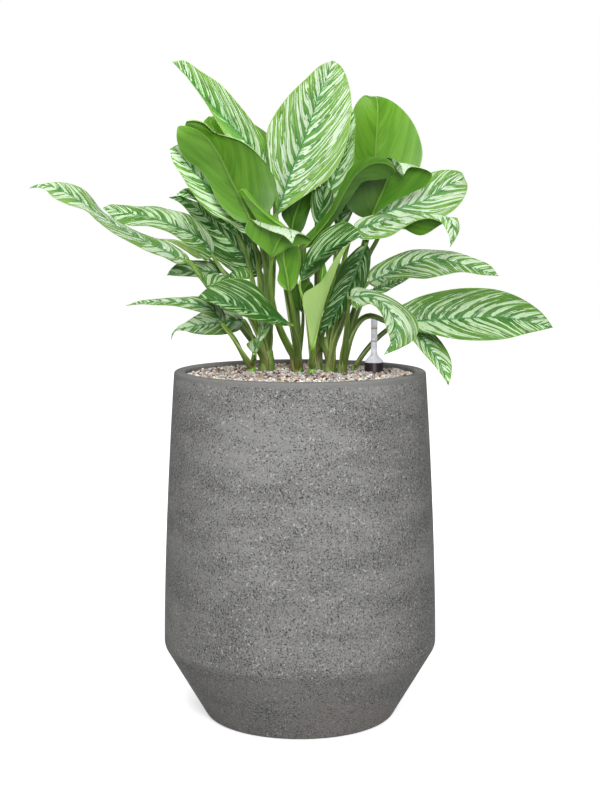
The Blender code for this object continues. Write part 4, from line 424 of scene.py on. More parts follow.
SHOOTS: dict[str, Shoot] = {
    "shoot_left_front": Shoot(251.5, -46, 7.5, 364, {
        "leaf_left_slender": Stalk(((251.3, 368, -46), (248.6, 364, -38), (245, 358, -22), (239, 347, 0),
            (232, 336, 21), (226, 329, 33), (223, 325, 40)), 5, 3),
        "leaf_left_low": Stalk(((251.7, 367, -46), (253.5, 360, -40), (254, 348, -32), (252, 336, -24),
            (248, 326, -16), (244, 320, -10)), 3, 2.2),
        "leaf_small_curled": Stalk(((251.7, 366, -45), (253.5, 363, -30), (254.5, 361, -10),
            (254.5, 358, 14), (254, 354, 36)), 3, 2),
    }),
    "shoot_left": Shoot(267, -60, 13.5, 352, {
        "leaf_left_outermost": Stalk(((264.3, 370, -58), (264, 358, -57), (258, 347, -51), (248, 334, -42),
            (238, 321, -36), (228, 310, -30), (217, 297, -22), (207, 284, -14), (197, 271, -12),
            (190, 262, -13)), 7.5, 4),
        "leaf_left_outer": Stalk(((264.3, 370, -60), (264, 350, -60), (257, 332, -60), (247, 312, -60),
            (236, 293, -60), (226, 276, -60), (218, 264, -60), (213, 256, -60)), 5, 3),
        "leaf_left_shaded": Stalk(((267, 370, -61), (267, 350, -62), (267, 338, -66), (267, 320, -70),
            (266, 300, -72), (263, 286, -70), (259, 276, -66)), 5, 3),
        "leaf_left_inner": Stalk(((266.1, 370, -59), (266, 350, -58), (264, 332, -52), (262, 310, -44),
            (260, 285, -32), (258, 262, -20), (255, 245, -9), (251, 234, -3)), 5, 3),
        "leaf_left_small_tip": Stalk(((265.2, 370, -60), (265, 352, -60), (263, 336, -57), (258, 312, -53),
            (253, 285, -49), (248, 262, -44), (243, 246, -39), (238, 236, -35)), 5, 3),
        "leaf_left_broad": Stalk(((267.4, 370, -58), (267.5, 350, -57), (268, 333, -48), (268, 310, -32),
            (267, 285, -14), (265, 262, 4), (261, 245, 18), (255.5, 231, 28), (251, 222, 35)), 5, 3),
        "leaf_left_low_shaded": Stalk(((266.1, 370, -62), (266, 350, -64), (262, 332, -72), (254, 310, -82),
            (243, 291, -86), (231, 278, -84), (222, 272, -80)), 3, 2),
        "leaf_left_narrow": Stalk(((264.3, 370, -66), (264, 344, -70), (256, 320, -84), (244, 296, -98),
            (230, 277, -104), (216, 264, -104), (206, 257.5, -102)), 3, 2),
        "leaf_upper_left_long": Stalk(((267.4, 370, -61), (267.5, 350, -61), (269, 335, -61),
            (271, 305, -60), (273, 270, -57), (274, 235, -52), (275, 212, -47), (274, 198, -45)), 5, 3),
        "leaf_upper_left_round": Stalk(((268.4, 370, -65), (268.5, 338, -68), (269, 310, -76),
            (269, 275, -84), (268, 240, -88), (265, 212, -90), (262, 196, -90)), 3.6, 2.4),
        "leaf_back_spear": Stalk(((269.2, 370, -63), (269.5, 330, -65), (271, 300, -69), (271, 265, -72),
            (270, 230, -74), (268.5, 206, -72), (268, 192, -70)), 3.4, 2),
        "leaf_back_4": Stalk(((268.4, 370, -65), (268.5, 346, -68), (270.5, 325, -90), (271, 295, -112),
            (268.5, 262, -122), (262, 234, -110), (258, 217, -110)), 5, 3),
        "leaf_back_5": Stalk(((268.4, 370, -65), (268.6, 345, -68), (269.5, 325, -80), (268, 301, -90),
            (263.5, 281, -96), (259, 268, -100)), 5, 3),
    }),
    "shoot_centre": Shoot(297.5, -34, 10.5, 362, {
        "leaf_front_left": Stalk(((297.5, 368, -30), (297.3, 360, -18), (297, 349, 6), (296, 338, 36),
            (294, 330, 60), (292, 325, 78)), 5, 3),
        "leaf_centre_plain": Stalk(((297.1, 370, -30), (297, 357, -28), (296.5, 344, -19), (295, 328, -4),
            (293, 312, 12), (291, 299, 24), (289, 291, 30)), 5, 3),
        "leaf_centre_folded": Stalk(((295.2, 370, -33), (295, 361, -32), (290, 351, -24), (282, 335, -8),
            (275, 315, 14), (271.5, 297, 34), (270.5, 280, 50), (271, 266, 63), (272, 257, 70)), 5, 3),
        "leaf_young_rolled": Stalk(((297.1, 370, -32), (297, 347, -30), (296.5, 325, -21),
            (295.5, 300, -10), (294.5, 275, 2), (293.5, 254, 14), (292, 241, 24), (290.5, 234, 38),
            (289, 230, 56)), 5, 3),
        "leaf_centre_shaded": Stalk(((297.1, 370, -36), (297, 350, -37), (296.5, 328, -44), (295, 298, -52),
            (294, 268, -58), (293, 246, -60), (292, 233, -60)), 3.6, 2.4),
        "leaf_front_left_tip_down": Stalk(((293.1, 370, -30), (290, 350, -28), (281, 333, -14),
            (270, 314, 2), (258, 299, 14), (247, 289, 24), (237, 281, 36), (229, 275.5, 45)), 3, 2),
        "leaf_centre_small": Stalk(((298.4, 370, -33), (298.5, 360, -32), (300, 348, -24), (302, 333, -10),
            (303, 321, 0), (303, 313, 10)), 3.2, 2),
        "leaf_tall_centre": Stalk(((296.6, 370, -34), (296.5, 354, -34), (294, 338, -31), (289.5, 312, -26),
            (285, 282, -22), (281, 252, -19), (278, 229, -15), (276, 216, -10)), 4.5, 3.4),
    }),
    "shoot_front": Shoot(311.5, -2, 5.5, 366, {
        "leaf_front_pale": Stalk(((311.7, 367, 0), (312, 363, 16), (312.3, 359, 34), (312.7, 353, 52),
            (313, 348, 65)), 4.2, 3.2),
        "leaf_centre_right": Stalk(((311.5, 367, -1), (311, 356, 2), (309.5, 340, 9), (307.5, 318, 18),
            (304.6, 303, 23), (301.2, 293, 29), (299.6, 286, 35), (300, 281, 40)), 3.4, 1.7),
        "leaf_young_spear": Stalk(((311.7, 367, -1), (312.8, 353, 1), (315, 336, 6), (318, 316, 11),
            (320.5, 300, 14), (322, 290, 16)), 2.8, 1.8),
    }),
    "shoot_right": Shoot(329.5, -32, 9.5, 362, {
        "leaf_right_arching": Stalk(((327.7, 370, -31), (327.5, 358, -31), (323, 345, -27), (317, 325, -18),
            (311, 301, -6), (306.5, 276, 8), (304.5, 259, 20), (304, 248, 32)), 4.2, 3.4),
        "leaf_right_hooded": Stalk(((333.1, 370, -32), (333.5, 345, -32), (340, 325, -31), (348, 299, -30),
            (356, 271, -28), (363, 246, -24), (368, 227, -18), (371, 217, -12)), 5, 3),
        "leaf_right_broad": Stalk(((333.1, 370, -34), (333.5, 347, -36), (340.5, 328, -43), (349, 303, -50),
            (358, 276, -54), (365, 249, -52), (368, 233, -48), (369.4, 224, -44), (372, 217, -40)), 5, 3),
        "leaf_right_overhanging": Stalk(((330.9, 370, -30), (331, 344, -29), (334, 322, -23),
            (338, 297, -16), (342, 272, -9), (346, 252, -2), (349, 241, 4), (350.4, 235, 10),
            (352, 231, 15)), 5, 3),
        "leaf_centre_pointed": Stalk(((329.1, 370, -32), (329, 345, -32), (327, 322, -31), (324, 292, -30),
            (321, 262, -29), (319.5, 240, -29), (319, 228, -30)), 3.4, 2.2),
        "leaf_right_shaded": Stalk(((329.9, 370, -32), (330, 347, -32), (331, 325, -31), (333, 295, -29),
            (334.5, 264, -27), (336, 241, -26), (337, 229, -25)), 3.4, 2.2),
        "leaf_front_hanging": Stalk(((332.6, 370, -31), (333, 345, -31), (339.5, 325, -28), (347, 302, -23),
            (355, 278, -18), (362, 257, -12), (366.5, 242.5, -10), (367.5, 238.6, 3),
            (366, 243, 14)), 5, 3),
    }),
    "shoot_outer_right": Shoot(342, -22, 9, 362, {
        "leaf_right_outermost": Stalk(((344.2, 370, -20), (344.5, 364, -19), (347.5, 350, -13),
            (351.5, 336, -8), (357, 325, -5), (363, 318.5, -3), (370, 316, -1), (378, 318, 0),
            (386, 321.5, 1), (394, 322.5, 3), (402, 321, 7)), 5, 3.4),
        "leaf_front_drooping": Stalk(((343, 366, -19), (345, 353, -8), (346.5, 337, 12), (347.5, 321, 41),
            (348, 309, 60), (348.6, 301.5, 69), (350, 298, 80)), 4.2, 3),
        "leaf_right_middle": Stalk(((343.8, 370, -24), (344, 357, -25), (347, 341, -31), (351, 322, -39),
            (356.5, 303, -44), (362, 290, -44), (368, 283, -40)), 5, 3),
        "leaf_right_middle_behind": Stalk(((343.8, 370, -25), (344, 360, -27), (347.5, 346, -40),
            (353, 327, -59), (359.5, 309, -73), (366, 296, -78), (372, 290, -75)), 3.4, 2.4),
    }),
    "shoot_slanting": Shoot(353, -48, 4.2, 366, {
        "leaf_right_low": Stalk(((355, 366.5, -49), (361, 357.5, -53), (370, 346, -57), (379, 337, -57),
            (386, 331, -55), (394, 325.5, -50), (404, 325, -41), (414, 328, -30)), 4.2, 3.2),
    }),
    "shoot_back": Shoot(318, -75, 8, 362, {
        "leaf_back_1": Stalk(((316.2, 370, -76), (316, 345, -77), (311, 320, -84), (304, 285, -94),
            (297, 250, -102), (291, 222, -106), (286, 206, -110)), 5, 3),
        "leaf_back_2": Stalk(((317.1, 370, -76), (317, 346, -76), (313, 322, -82), (308, 290, -89),
            (303, 258, -94), (299, 230, -98), (297, 214, -100)), 5, 3),
        "leaf_back_7": Stalk(((318, 370, -76), (318, 344, -76), (318, 315, -82), (317.5, 280, -89),
            (317, 240, -98), (317, 205, -108), (318, 180, -120)), 5, 3),
        "leaf_tall_behind": Stalk(((318.3, 370, -74), (318.3, 345, -74), (319, 320, -72), (319.5, 290, -69),
            (320, 258, -64), (320, 230, -59), (320, 216, -55)), 3.8, 2.6),
        "leaf_back_3": Stalk(((319.8, 370, -76), (320, 346, -76), (324, 325, -80), (330, 298, -86),
            (337, 265, -92), (343, 235, -96), (347, 216, -100)), 5, 3),
        "leaf_upper_right": Stalk(((318.4, 370, -75), (318.5, 354, -75), (324, 345, -77), (335, 328, -82),
            (349, 304, -86), (362, 276, -88), (370, 253, -88), (377.5, 239, -88), (381, 226, -88),
            (377, 214, -90)), 5, 3),
        "leaf_back_6": Stalk(((318.4, 370, -76), (318.5, 355, -76), (325, 345, -88), (334, 333, -102),
            (341, 320, -110), (344, 310, -110)), 3.6, 2.6),
    }),
}


Socket = bpy.types.NodeSocket
Value = Socket | float | tuple


def shaded(colour: Colour, factor: float) -> Colour:
    """A colour with each of its parts times a factor."""
    red, green, blue = colour
    return red * factor, green * factor, blue * factor


class Graph:
    """A material's node graph. Each method adds one node and returns its output."""

    def __init__(self, name: str, roughness: float, specular: float = 0.5) -> None:
        """Start from a plain Principled material.

        Args:
            name: the material's name.
            roughness: the shader's roughness where no node gives it.
            specular: the shader's specular level.
        """
        self.material = bpy.data.materials.new(name)
        self.material.use_nodes = True
        self.tree = self.material.node_tree
        self.shader = self.tree.nodes["Principled BSDF"]
        self.shader.inputs["Roughness"].default_value = roughness
        self.shader.inputs["Specular IOR Level"].default_value = specular

    def put(self, socket: Socket, value: Value) -> None:
        """Link a value to a socket, or set it there when it is a plain number or colour."""
        if isinstance(value, Socket):
            self.tree.links.new(value, socket)
        elif isinstance(value, tuple) and len(value) == 3 and socket.type == "RGBA":
            socket.default_value = (*value, 1.0)
        else:
            socket.default_value = value

    def add(self, kind: str, *inputs: Value, output: int = 0, **settings: object) -> Socket:
        """Add a node of a kind, with its inputs in order and its settings by name.

        Args:
            kind: Blender's name of the node type.
            inputs: what goes into the first sockets.
            output: which output is returned.
            settings: properties of the node.

        Returns:
            The chosen output socket.
        """
        node = self.tree.nodes.new(kind)
        for name, value in settings.items():
            setattr(node, name, value)
        for socket, value in zip(node.inputs, inputs):
            self.put(socket, value)
        return node.outputs[output]

    def math(self, operation: str, *values: Value) -> Socket:
        """The result of a sum on one to three values."""
        return self.add("ShaderNodeMath", *values, operation=operation)

    def scaled(self, value: Value, factor: float) -> Socket:
        """A value times a factor."""
        return self.math("MULTIPLY", value, factor)

    def centred(self, value: Value) -> Socket:
        """A value less a half."""
        return self.math("SUBTRACT", value, 0.5)

    def mix(self, share: Value, first: Value, second: Value, blend: str = "MIX") -> Socket:
        """The colour that lies a share of the way from the first to the second."""
        node = self.tree.nodes.new("ShaderNodeMix")
        node.data_type = "RGBA"
        node.blend_type = blend
        for index, value in ((0, share), (6, first), (7, second)):
            self.put(node.inputs[index], value)
        return node.outputs[2]

    def step(self, value: Value, low: Value, high: Value) -> Socket:
        """A smooth step from 0 at low to 1 at high."""
        return self.add(
            "ShaderNodeMapRange", value, low, high, 0.0, 1.0, interpolation_type="SMOOTHSTEP"
        )

    def noise(self, place: Value, scale: float, detail: float = 2.0, rough: float = 0.5) -> Socket:
        """A cloudy value about a half, with a given number of clouds to the unit."""
        node = self.tree.nodes.new("ShaderNodeTexNoise")
        self.put(node.inputs["Vector"], place)
        for socket, value in (("Scale", scale), ("Detail", detail), ("Roughness", rough)):
            node.inputs[socket].default_value = value
        return node.outputs["Fac"]

    def cells(self, place: Value, scale: float, output: str = "Distance") -> Socket:
        """The distance to the nearest of many scattered points, or a colour for each point's cell."""
        node = self.tree.nodes.new("ShaderNodeTexVoronoi")
        self.put(node.inputs["Vector"], place)
        node.inputs["Scale"].default_value = scale
        return node.outputs[output]

    def ramp(self, value: Value, stops: tuple[tuple[float, Colour], ...]) -> Socket:
        """The colour that a value has on a band of colour stops."""
        node = self.tree.nodes.new("ShaderNodeValToRGB")
        self.put(node.inputs[0], value)
        band = node.color_ramp.elements
        for place, _ in stops[2:]:
            band.new(place)
        for element, (place, colour) in zip(band, stops):
            element.position = place
            element.color = (*colour, 1.0)
        return node.outputs[0]

    def stretched(self, place: Value, scale: Point) -> Socket:
        """A place with each direction scaled by its own factor."""
        return self.add("ShaderNodeVectorMath", place, scale, operation="MULTIPLY")

    def parts(self, place: Value) -> tuple[Socket, Socket, Socket]:
        """The three parts of a place or colour."""
        node = self.tree.nodes.new("ShaderNodeSeparateXYZ")
        self.put(node.inputs[0], place)
        return node.outputs[0], node.outputs[1], node.outputs[2]

    def join(self, x: Value, y: Value, z: Value = 0.0) -> Socket:
        """A place made of three parts."""
        return self.add("ShaderNodeCombineXYZ", x, y, z)

    def shade(self, bright: Value, deep: Value) -> Socket:
        """The light on a leaf, greener the deeper it stands: red falls by 0.25 deep, blue by 0.45 deep."""
        red = self.math("MULTIPLY", bright, self.math("MULTIPLY_ADD", deep, -0.25, 1.0))
        blue = self.math("MULTIPLY", bright, self.math("MULTIPLY_ADD", deep, -0.45, 1.0))
        return self.join(red, bright, blue)

    def here(self) -> Socket:
        """The place of the shaded point on its object, in metres."""
        return self.add("ShaderNodeTexCoord", output=3)

    def painted(self, name: str) -> Socket:
        """The mesh's painted attribute of a name, as a colour."""
        return self.add("ShaderNodeAttribute", attribute_name=name)

    def finish(self, colour: Value, roughness: Value | None = None, height: Socket | None = None,
               depth: float = 0.0002) -> bpy.types.Material:
        """Wire the shader and return the material.

        Args:
            colour: the base colour.
            roughness: the roughness, when it varies over the surface.
            height: the bump height from 0 to 1, when there is one.
            depth: how deep the bump is, in metres.

        Returns:
            The finished material.
        """
        self.put(self.shader.inputs["Base Color"], colour)
        if roughness is not None:
            self.put(self.shader.inputs["Roughness"], roughness)
        if height is not None:
            bump = self.tree.nodes.new("ShaderNodeBump")
            bump.inputs["Distance"].default_value = depth
            self.put(bump.inputs["Height"], height)
            self.put(self.shader.inputs["Normal"], bump.outputs[0])
        return self.material


@dataclass(frozen=True)
class StoneFinish:
    """Grey cast stone: dense dark flecks, a few brown ones, small pits in painted shade and soft darker
    bands.
    """

    ground: Colour = (0.27, 0.27, 0.262)
    fleck: Colour = (0.04, 0.04, 0.044)
    brown: Colour = (0.13, 0.085, 0.06)
    light: Colour = (0.52, 0.52, 0.5)
    pit_shade: Colour = (0.012, 0.012, 0.012)
    rim: Colour = (0.2, 0.2, 0.19)
    bottom_brown: Colour = (0.16, 0.12, 0.085)
    rim_foot: float = 0.531

    def material(self) -> bpy.types.Material:
        """Flecks where fine noise is low, bands from noise drawn out sideways, a plain band at the rim."""
        graph = Graph("planter_stone_look", 0.8, 0.3)
        here = graph.here()
        grain = graph.noise(here, 440.0, 3.0, 0.66)
        cloud = graph.noise(graph.stretched(here, (7.0, 7.0, 22.0)), 1.0, 3.0, 0.6)
        level = graph.math("ADD", grain, graph.math("MULTIPLY_ADD", cloud, 0.16, -0.08))
        ground = graph.mix(graph.step(cloud, 0.35, 0.7), shaded(self.ground, 0.78), self.ground)
        speckled = graph.mix(graph.step(level, 0.47, 0.4), ground, self.fleck)
        warm = graph.step(graph.noise(here, 190.0, 2.0, 0.6), 0.6, 0.68)
        speckled = graph.mix(graph.math("MULTIPLY", warm, 0.75), speckled, self.brown)
        pale = graph.step(graph.noise(here, 260.0, 1.0), 0.64, 0.7)
        speckled = graph.mix(graph.math("MULTIPLY", pale, 0.6), speckled, self.light)
        pits = graph.step(graph.cells(here, 62.0), 0.1, 0.07)
        chosen = graph.step(graph.noise(here, 31.0, 1.0), 0.64, 0.66)
        hollow = graph.math("MULTIPLY", pits, chosen)
        # painted shade: small pits are painted near-black for the shade inside them, besides their dip in the
        # bump
        speckled = graph.mix(hollow, speckled, self.pit_shade)
        height = graph.parts(here)[2]
        # clouded patches over the lowest 0.2 m go darker and browner
        low = graph.math("MULTIPLY", graph.step(height, 0.2, 0.0), graph.step(cloud, 0.4, 0.75))
        speckled = graph.mix(graph.math("MULTIPLY", low, 0.4), speckled, self.bottom_brown)
        rim = graph.step(height, self.rim_foot, self.rim_foot + 0.002)
        colour = graph.mix(graph.math("MULTIPLY", rim, 0.8), speckled, self.rim)
        relief = graph.math("SUBTRACT", grain, hollow)
        return graph.finish(colour, None, relief, 0.0006)


@dataclass(frozen=True)
class GrainFinish:
    """Loose mineral grains, each of its own painted colour, with a dusty mottling."""

    def material(self) -> bpy.types.Material:
        """The painted colour, darkened and lightened by fine noise."""
        graph = Graph("granulate_look", 0.88, 0.25)
        here = graph.here()
        dust = graph.noise(here, 600.0, 2.0)
        shade = graph.ramp(dust, ((0.3, (0.62, 0.6, 0.58)), (0.7, (1.1, 1.1, 1.1))))
        colour = graph.mix(1.0, graph.painted("grain"), shade, "MULTIPLY")
        return graph.finish(colour, None, dust, 0.0004)


@dataclass(frozen=True)
class PlasticFinish:
    """Moulded plastic with a faint unevenness in its gloss.

    Clear is how much light it lets through, and glow is a painted glow, an emission in its own colour
    that stands in for the daylight behind it showing through.
    """

    name: str
    colour: Colour
    roughness: float
    clear: float = 0.0
    glow: float = 0.0

    def material(self) -> bpy.types.Material:
        """One colour, a little darker in noise patches, with roughness that follows the same noise."""
        graph = Graph(self.name, self.roughness)
        cloud = graph.noise(graph.here(), 140.0, 3.0)
        colour = graph.mix(graph.step(cloud, 0.4, 0.65), shaded(self.colour, 0.8), self.colour)
        graph.put(graph.shader.inputs["Transmission Weight"], self.clear)
        # painted light: the emission in its own colour stands in for the daylight showing through from behind
        graph.put(graph.shader.inputs["Emission Color"], self.colour)
        graph.put(graph.shader.inputs["Emission Strength"], self.glow)
        return graph.finish(colour, graph.math("MULTIPLY_ADD", cloud, 0.2, self.roughness - 0.08))


@dataclass(frozen=True)
class UpperFinish:
    """The upper face of a blade: pale stripes that follow the side veins on mottled green."""

    pale: Colour = (0.63, 0.77, 0.56)
    middle: Colour = (0.21, 0.42, 0.06)
    bluish: Colour = (0.085, 0.26, 0.085)
    dark: Colour = (0.017, 0.095, 0.011)
    rib: Colour = (0.1, 0.29, 0.095)
    margin: Colour = (0.32, 0.54, 0.11)
    stripe_turn: float = 3.3
    pleat_turn: float = 7.0

    def material(self) -> bpy.types.Material:
        """Stripes where a level passes the brim set by the painted share of pale.

        The level is a wave along the vein coordinate, bent by slow noise, that gives way toward the margin
        to finer noise drawn out along the veins, with small specks that fray the stripes' edges.
        """
        graph = Graph("leaf_upper_look", 0.46, 0.22)
        vein, across, _ = graph.parts(graph.add("ShaderNodeUVMap", uv_map="blade"))
        bright, pale_share, deep = graph.parts(graph.painted("tone"))
        along, share, seed = graph.parts(graph.painted("lay"))
        away = graph.math("ABSOLUTE", across)
        side = graph.math("MULTIPLY_ADD", graph.math("SIGN", across), 3.1, seed)
        slow = graph.join(graph.scaled(vein, 0.4), graph.scaled(away, 0.5), side)
        drift = graph.centred(graph.noise(slow, 0.55, 1.0))
        bent = graph.math("MULTIPLY_ADD", drift, 3.4, vein)
        wave = graph.math("SINE", graph.scaled(bent, self.stripe_turn))
        lane = graph.join(bent, graph.scaled(away, 0.16), side)
        fine = graph.centred(graph.noise(lane, 1.7, 2.0, 0.62))
        speck = graph.centred(graph.noise(graph.join(bent, graph.scaled(away, 0.4), side), 3.6, 1.0, 0.6))
        broad = graph.math("MULTIPLY", wave, graph.math("MULTIPLY_ADD", share, -0.2, 0.36))
        narrow = graph.math("MULTIPLY", fine, graph.math("MULTIPLY_ADD", share, 1.5, 3.6))
        level = graph.math("ADD", graph.math("ADD", broad, narrow), graph.scaled(speck, 1.5))
        level = graph.math("SUBTRACT", level, graph.scaled(graph.step(share, 0.72, 1.0), 0.35))
        brim = graph.math("MULTIPLY_ADD", pale_share, -2.6, 1.3)
        below = graph.math("SUBTRACT", level, brim)
        blot = graph.noise(graph.join(bent, graph.scaled(away, 0.5), seed), 2.0, 2.0, 0.6)
        cool = graph.scaled(graph.step(blot, 0.42, 0.62), 0.35)
        inner = graph.math("MULTIPLY_ADD", graph.step(share, 0.7, 0.05), 0.5, cool)
        outer = graph.mix(graph.scaled(graph.step(share, 0.45, 0.95), 0.4), self.middle, self.margin)
        green = graph.mix(inner, outer, self.bluish)
        fringe = graph.math("MULTIPLY", graph.step(below, -0.4, -0.05), graph.step(blot, 0.38, 0.56))
        green = graph.mix(graph.scaled(fringe, 0.7), green, self.dark)
        # deep takes the greens toward dark: partly the leaf's own darker green, partly painted shade deep in
        # the foliage
        green = graph.mix(graph.scaled(deep, 0.9), green, self.dark)
        pale = graph.mix(graph.step(speck, -0.12, 0.1), shaded(self.pale, 0.85), self.pale)
        face = graph.mix(graph.step(below, -0.05, 0.07), green, pale)
        slim = graph.math("MULTIPLY_ADD", along, -0.26, 0.34)
        wobble = graph.math("MULTIPLY_ADD", speck, 0.5, away)
        face = graph.mix(graph.step(wobble, slim, graph.scaled(slim, 0.35)), face, self.rib)
        face = graph.mix(graph.step(share, 0.965, 0.99), face, self.margin)
        # painted light and shade: the face is multiplied by the blade's painted brightness
        face = graph.mix(1.0, face, graph.shade(bright, deep), "MULTIPLY")
        return graph.finish(face, None, graph.math("SINE", graph.scaled(vein, self.pleat_turn)), 0.00025)


@dataclass(frozen=True)
class UnderFinish:
    """The under face of a blade: plain green with faint side veins and a lighter midrib."""

    green: Colour = (0.16, 0.37, 0.03)
    deep: Colour = (0.05, 0.19, 0.004)
    rib: Colour = (0.24, 0.45, 0.08)
    paling: Colour = (0.4, 0.56, 0.2)
    vein_turn: float = 6.0

    def material(self) -> bpy.types.Material:
        """Two greens by slow noise, with thin lines, a little lighter, where the side veins run."""
        graph = Graph("leaf_under_look", 0.42, 0.3)
        vein, across, _ = graph.parts(graph.add("ShaderNodeUVMap", uv_map="blade"))
        bright, paling, deep = graph.parts(graph.painted("tone"))
        along, share, seed = graph.parts(graph.painted("lay"))
        away = graph.math("ABSOLUTE", across)
        side = graph.math("MULTIPLY_ADD", graph.math("SIGN", across), 2.3, seed)
        cloud = graph.noise(graph.join(graph.scaled(vein, 0.5), graph.scaled(away, 0.4), side), 0.7, 2.0, 0.5)
        streak = graph.noise(graph.join(vein, graph.scaled(away, 0.12), side), 2.6, 2.0, 0.6)
        # deep darkens the greens: partly the leaf's own darker green, partly painted shade deep in the
        # foliage
        dark = graph.math("ADD", graph.scaled(graph.step(cloud, 0.38, 0.62), 0.45), graph.scaled(deep, 0.8))
        dark = graph.math("MULTIPLY_ADD", graph.centred(streak), 0.6, dark)
        face = graph.mix(dark, self.green, self.deep)
        # the under face is paled toward a light yellow-green by its painted share
        face = graph.mix(paling, face, self.paling)
        line = graph.step(graph.math("SINE", graph.scaled(vein, self.vein_turn)), 0.88, 1.0)
        face = graph.mix(graph.scaled(line, 0.14), face, self.rib)
        slim = graph.math("MULTIPLY_ADD", along, -0.14, 0.19)
        face = graph.mix(graph.scaled(graph.step(away, slim, graph.scaled(slim, 0.5)), 0.8), face, self.rib)
        face = graph.mix(graph.step(share, 0.97, 0.995), face, self.rib)
        # painted light and shade: the face is multiplied by the blade's painted brightness
        face = graph.mix(1.0, face, graph.shade(bright, deep), "MULTIPLY")
        return graph.finish(face, None, streak, 0.0003)


@dataclass(frozen=True)
class StalkFinish:
    """Canes and leaf stalks: olive green streaks, pale sheath edges and dry brown patches low down."""

    green: Colour = (0.085, 0.19, 0.018)
    olive: Colour = (0.2, 0.31, 0.06)
    edge: Colour = (0.55, 0.66, 0.26)
    dry: Colour = (0.2, 0.12, 0.045)

    def material(self) -> bpy.types.Material:
        """Streaks from noise drawn out along the stalk, with the painted edge and dryness laid over."""
        graph = Graph("stalk_look", 0.5, 0.35)
        around, along, _ = graph.parts(graph.add("ShaderNodeUVMap", uv_map="stalk"))
        edge, dry, light = graph.parts(graph.painted("tone"))
        streak = graph.noise(graph.join(around, graph.math("MULTIPLY", along, 0.12), light), 3.0, 3.0, 0.6)
        colour = graph.mix(graph.step(streak, 0.38, 0.62), self.green, self.olive)
        colour = graph.mix(edge, colour, self.edge)
        rough = graph.math("MULTIPLY", dry, graph.step(streak, 0.4, 0.6))
        colour = graph.mix(rough, colour, self.dry)
        colour = graph.mix(1.0, colour, graph.join(light, light, light), "MULTIPLY")
        return graph.finish(colour, None, streak, 0.0004)


@dataclass(frozen=True)
class FloorFinish:
    """A plain pale floor."""

    colour: Colour = (0.93, 0.93, 0.93)
    glow: float = 0.6
    reach: float = 0.4
    far: float = 1.6

    def material(self) -> bpy.types.Material:
        """Matt and nearly white, with the faintest clouding and a glow that grows away from the object."""
        graph = Graph("floor_look", 0.9, 0.0)
        away = graph.add("ShaderNodeVectorMath", graph.here(), output=1, operation="LENGTH")
        glow = graph.math("MULTIPLY_ADD", graph.step(away, self.reach, self.far), 1.0 - self.glow, self.glow)
        graph.shader.inputs["Emission Color"].default_value = (1.0, 1.0, 1.0, 1.0)
        graph.put(graph.shader.inputs["Emission Strength"], glow)
        cloud = graph.noise(graph.here(), 1.5)
        return graph.finish(graph.mix(cloud, shaded(self.colour, 0.99), self.colour))


def smooth_path(points: np.ndarray, count: int, dense: int = 16) -> tuple[np.ndarray, float]:
    """Points evenly spaced along a centripetal Catmull-Rom curve through the given ones.

    Each span is the cubic that leaves and arrives along the slopes of its neighbours, weighted by the
    square roots of their distances.

    Args:
        points: what the curve goes through, one to a row.
        count: how many points are wanted.
        dense: how finely each span is first drawn.

    Returns:
        The points, one to a row, and the curve's length.
    """
    path = np.vstack([2 * points[0] - points[1], points, 2 * points[-1] - points[-2]])
    first, second, third, fourth = path[:-3], path[1:-2], path[2:-1], path[3:]
    roots = [
        np.maximum(np.linalg.norm(b - a, axis=1), 1e-6)[:, None] ** 0.5
        for a, b in ((first, second), (second, third), (third, fourth))
    ]
    before, span, after = roots
    leave = (second - first) / before - (third - first) / (before + span) + (third - second) / span
    arrive = (third - second) / span - (fourth - second) / (span + after) + (fourth - third) / after
    share = (np.arange(dense) / dense)[None, :, None]
    square, cube = share**2, share**3
    fine = (
        (2 * cube - 3 * square + 1) * second[:, None]
        + (cube - 2 * square + share) * (leave * span)[:, None]
        + (3 * square - 2 * cube) * third[:, None]
        + (cube - square) * (arrive * span)[:, None]
    ).reshape(-1, 3)
    fine = np.vstack([fine, points[-1]])
    reach = np.concatenate([[0.0], np.cumsum(np.linalg.norm(np.diff(fine, axis=0), axis=1))])
    goals = np.linspace(0.0, reach[-1], count)
    return np.stack([np.interp(goals, reach, fine[:, axis]) for axis in range(3)], axis=1), float(reach[-1])


def shares_of(points: np.ndarray) -> np.ndarray:
    """How far along its length each point of a path lies, from 0 to 1."""
    reach = np.concatenate([[0.0], np.cumsum(np.linalg.norm(np.diff(points, axis=0), axis=1))])
    return reach / reach[-1]


def unit(vectors: np.ndarray) -> np.ndarray:
    """Vectors brought to length 1 along their last axis."""
    return vectors / np.maximum(np.linalg.norm(vectors, axis=-1, keepdims=True), 1e-9)


def quads(rows: int, columns: int, ring: bool = False, loop: bool = False) -> np.ndarray:
    """Four-sided faces of a grid whose points are counted row by row.

    Args:
        rows: how many rows of points there are.
        columns: how many points a row has.
        ring: whether the last column joins the first.
        loop: whether the last row joins the first.

    Returns:
        One face to a row, turned so that across, then along, runs round its outer side.
    """
    row, column = np.meshgrid(
        np.arange(rows if loop else rows - 1), np.arange(columns if ring else columns - 1), indexing="ij"
    )
    further, beside = (row + 1) % rows, (column + 1) % columns
    corners = (row * columns + column, row * columns + beside, further * columns + beside,
               further * columns + column)
    return np.stack(corners, axis=-1).reshape(-1, 4)


def fan(ring: np.ndarray, centre: int, outward: bool) -> np.ndarray:
    """Triangles from a ring of points to a centre point, turned to either side."""
    following = np.roll(ring, -1)
    middle = np.full_like(ring, centre)
    return np.stack((ring, following, middle) if outward else (following, ring, middle), axis=1)


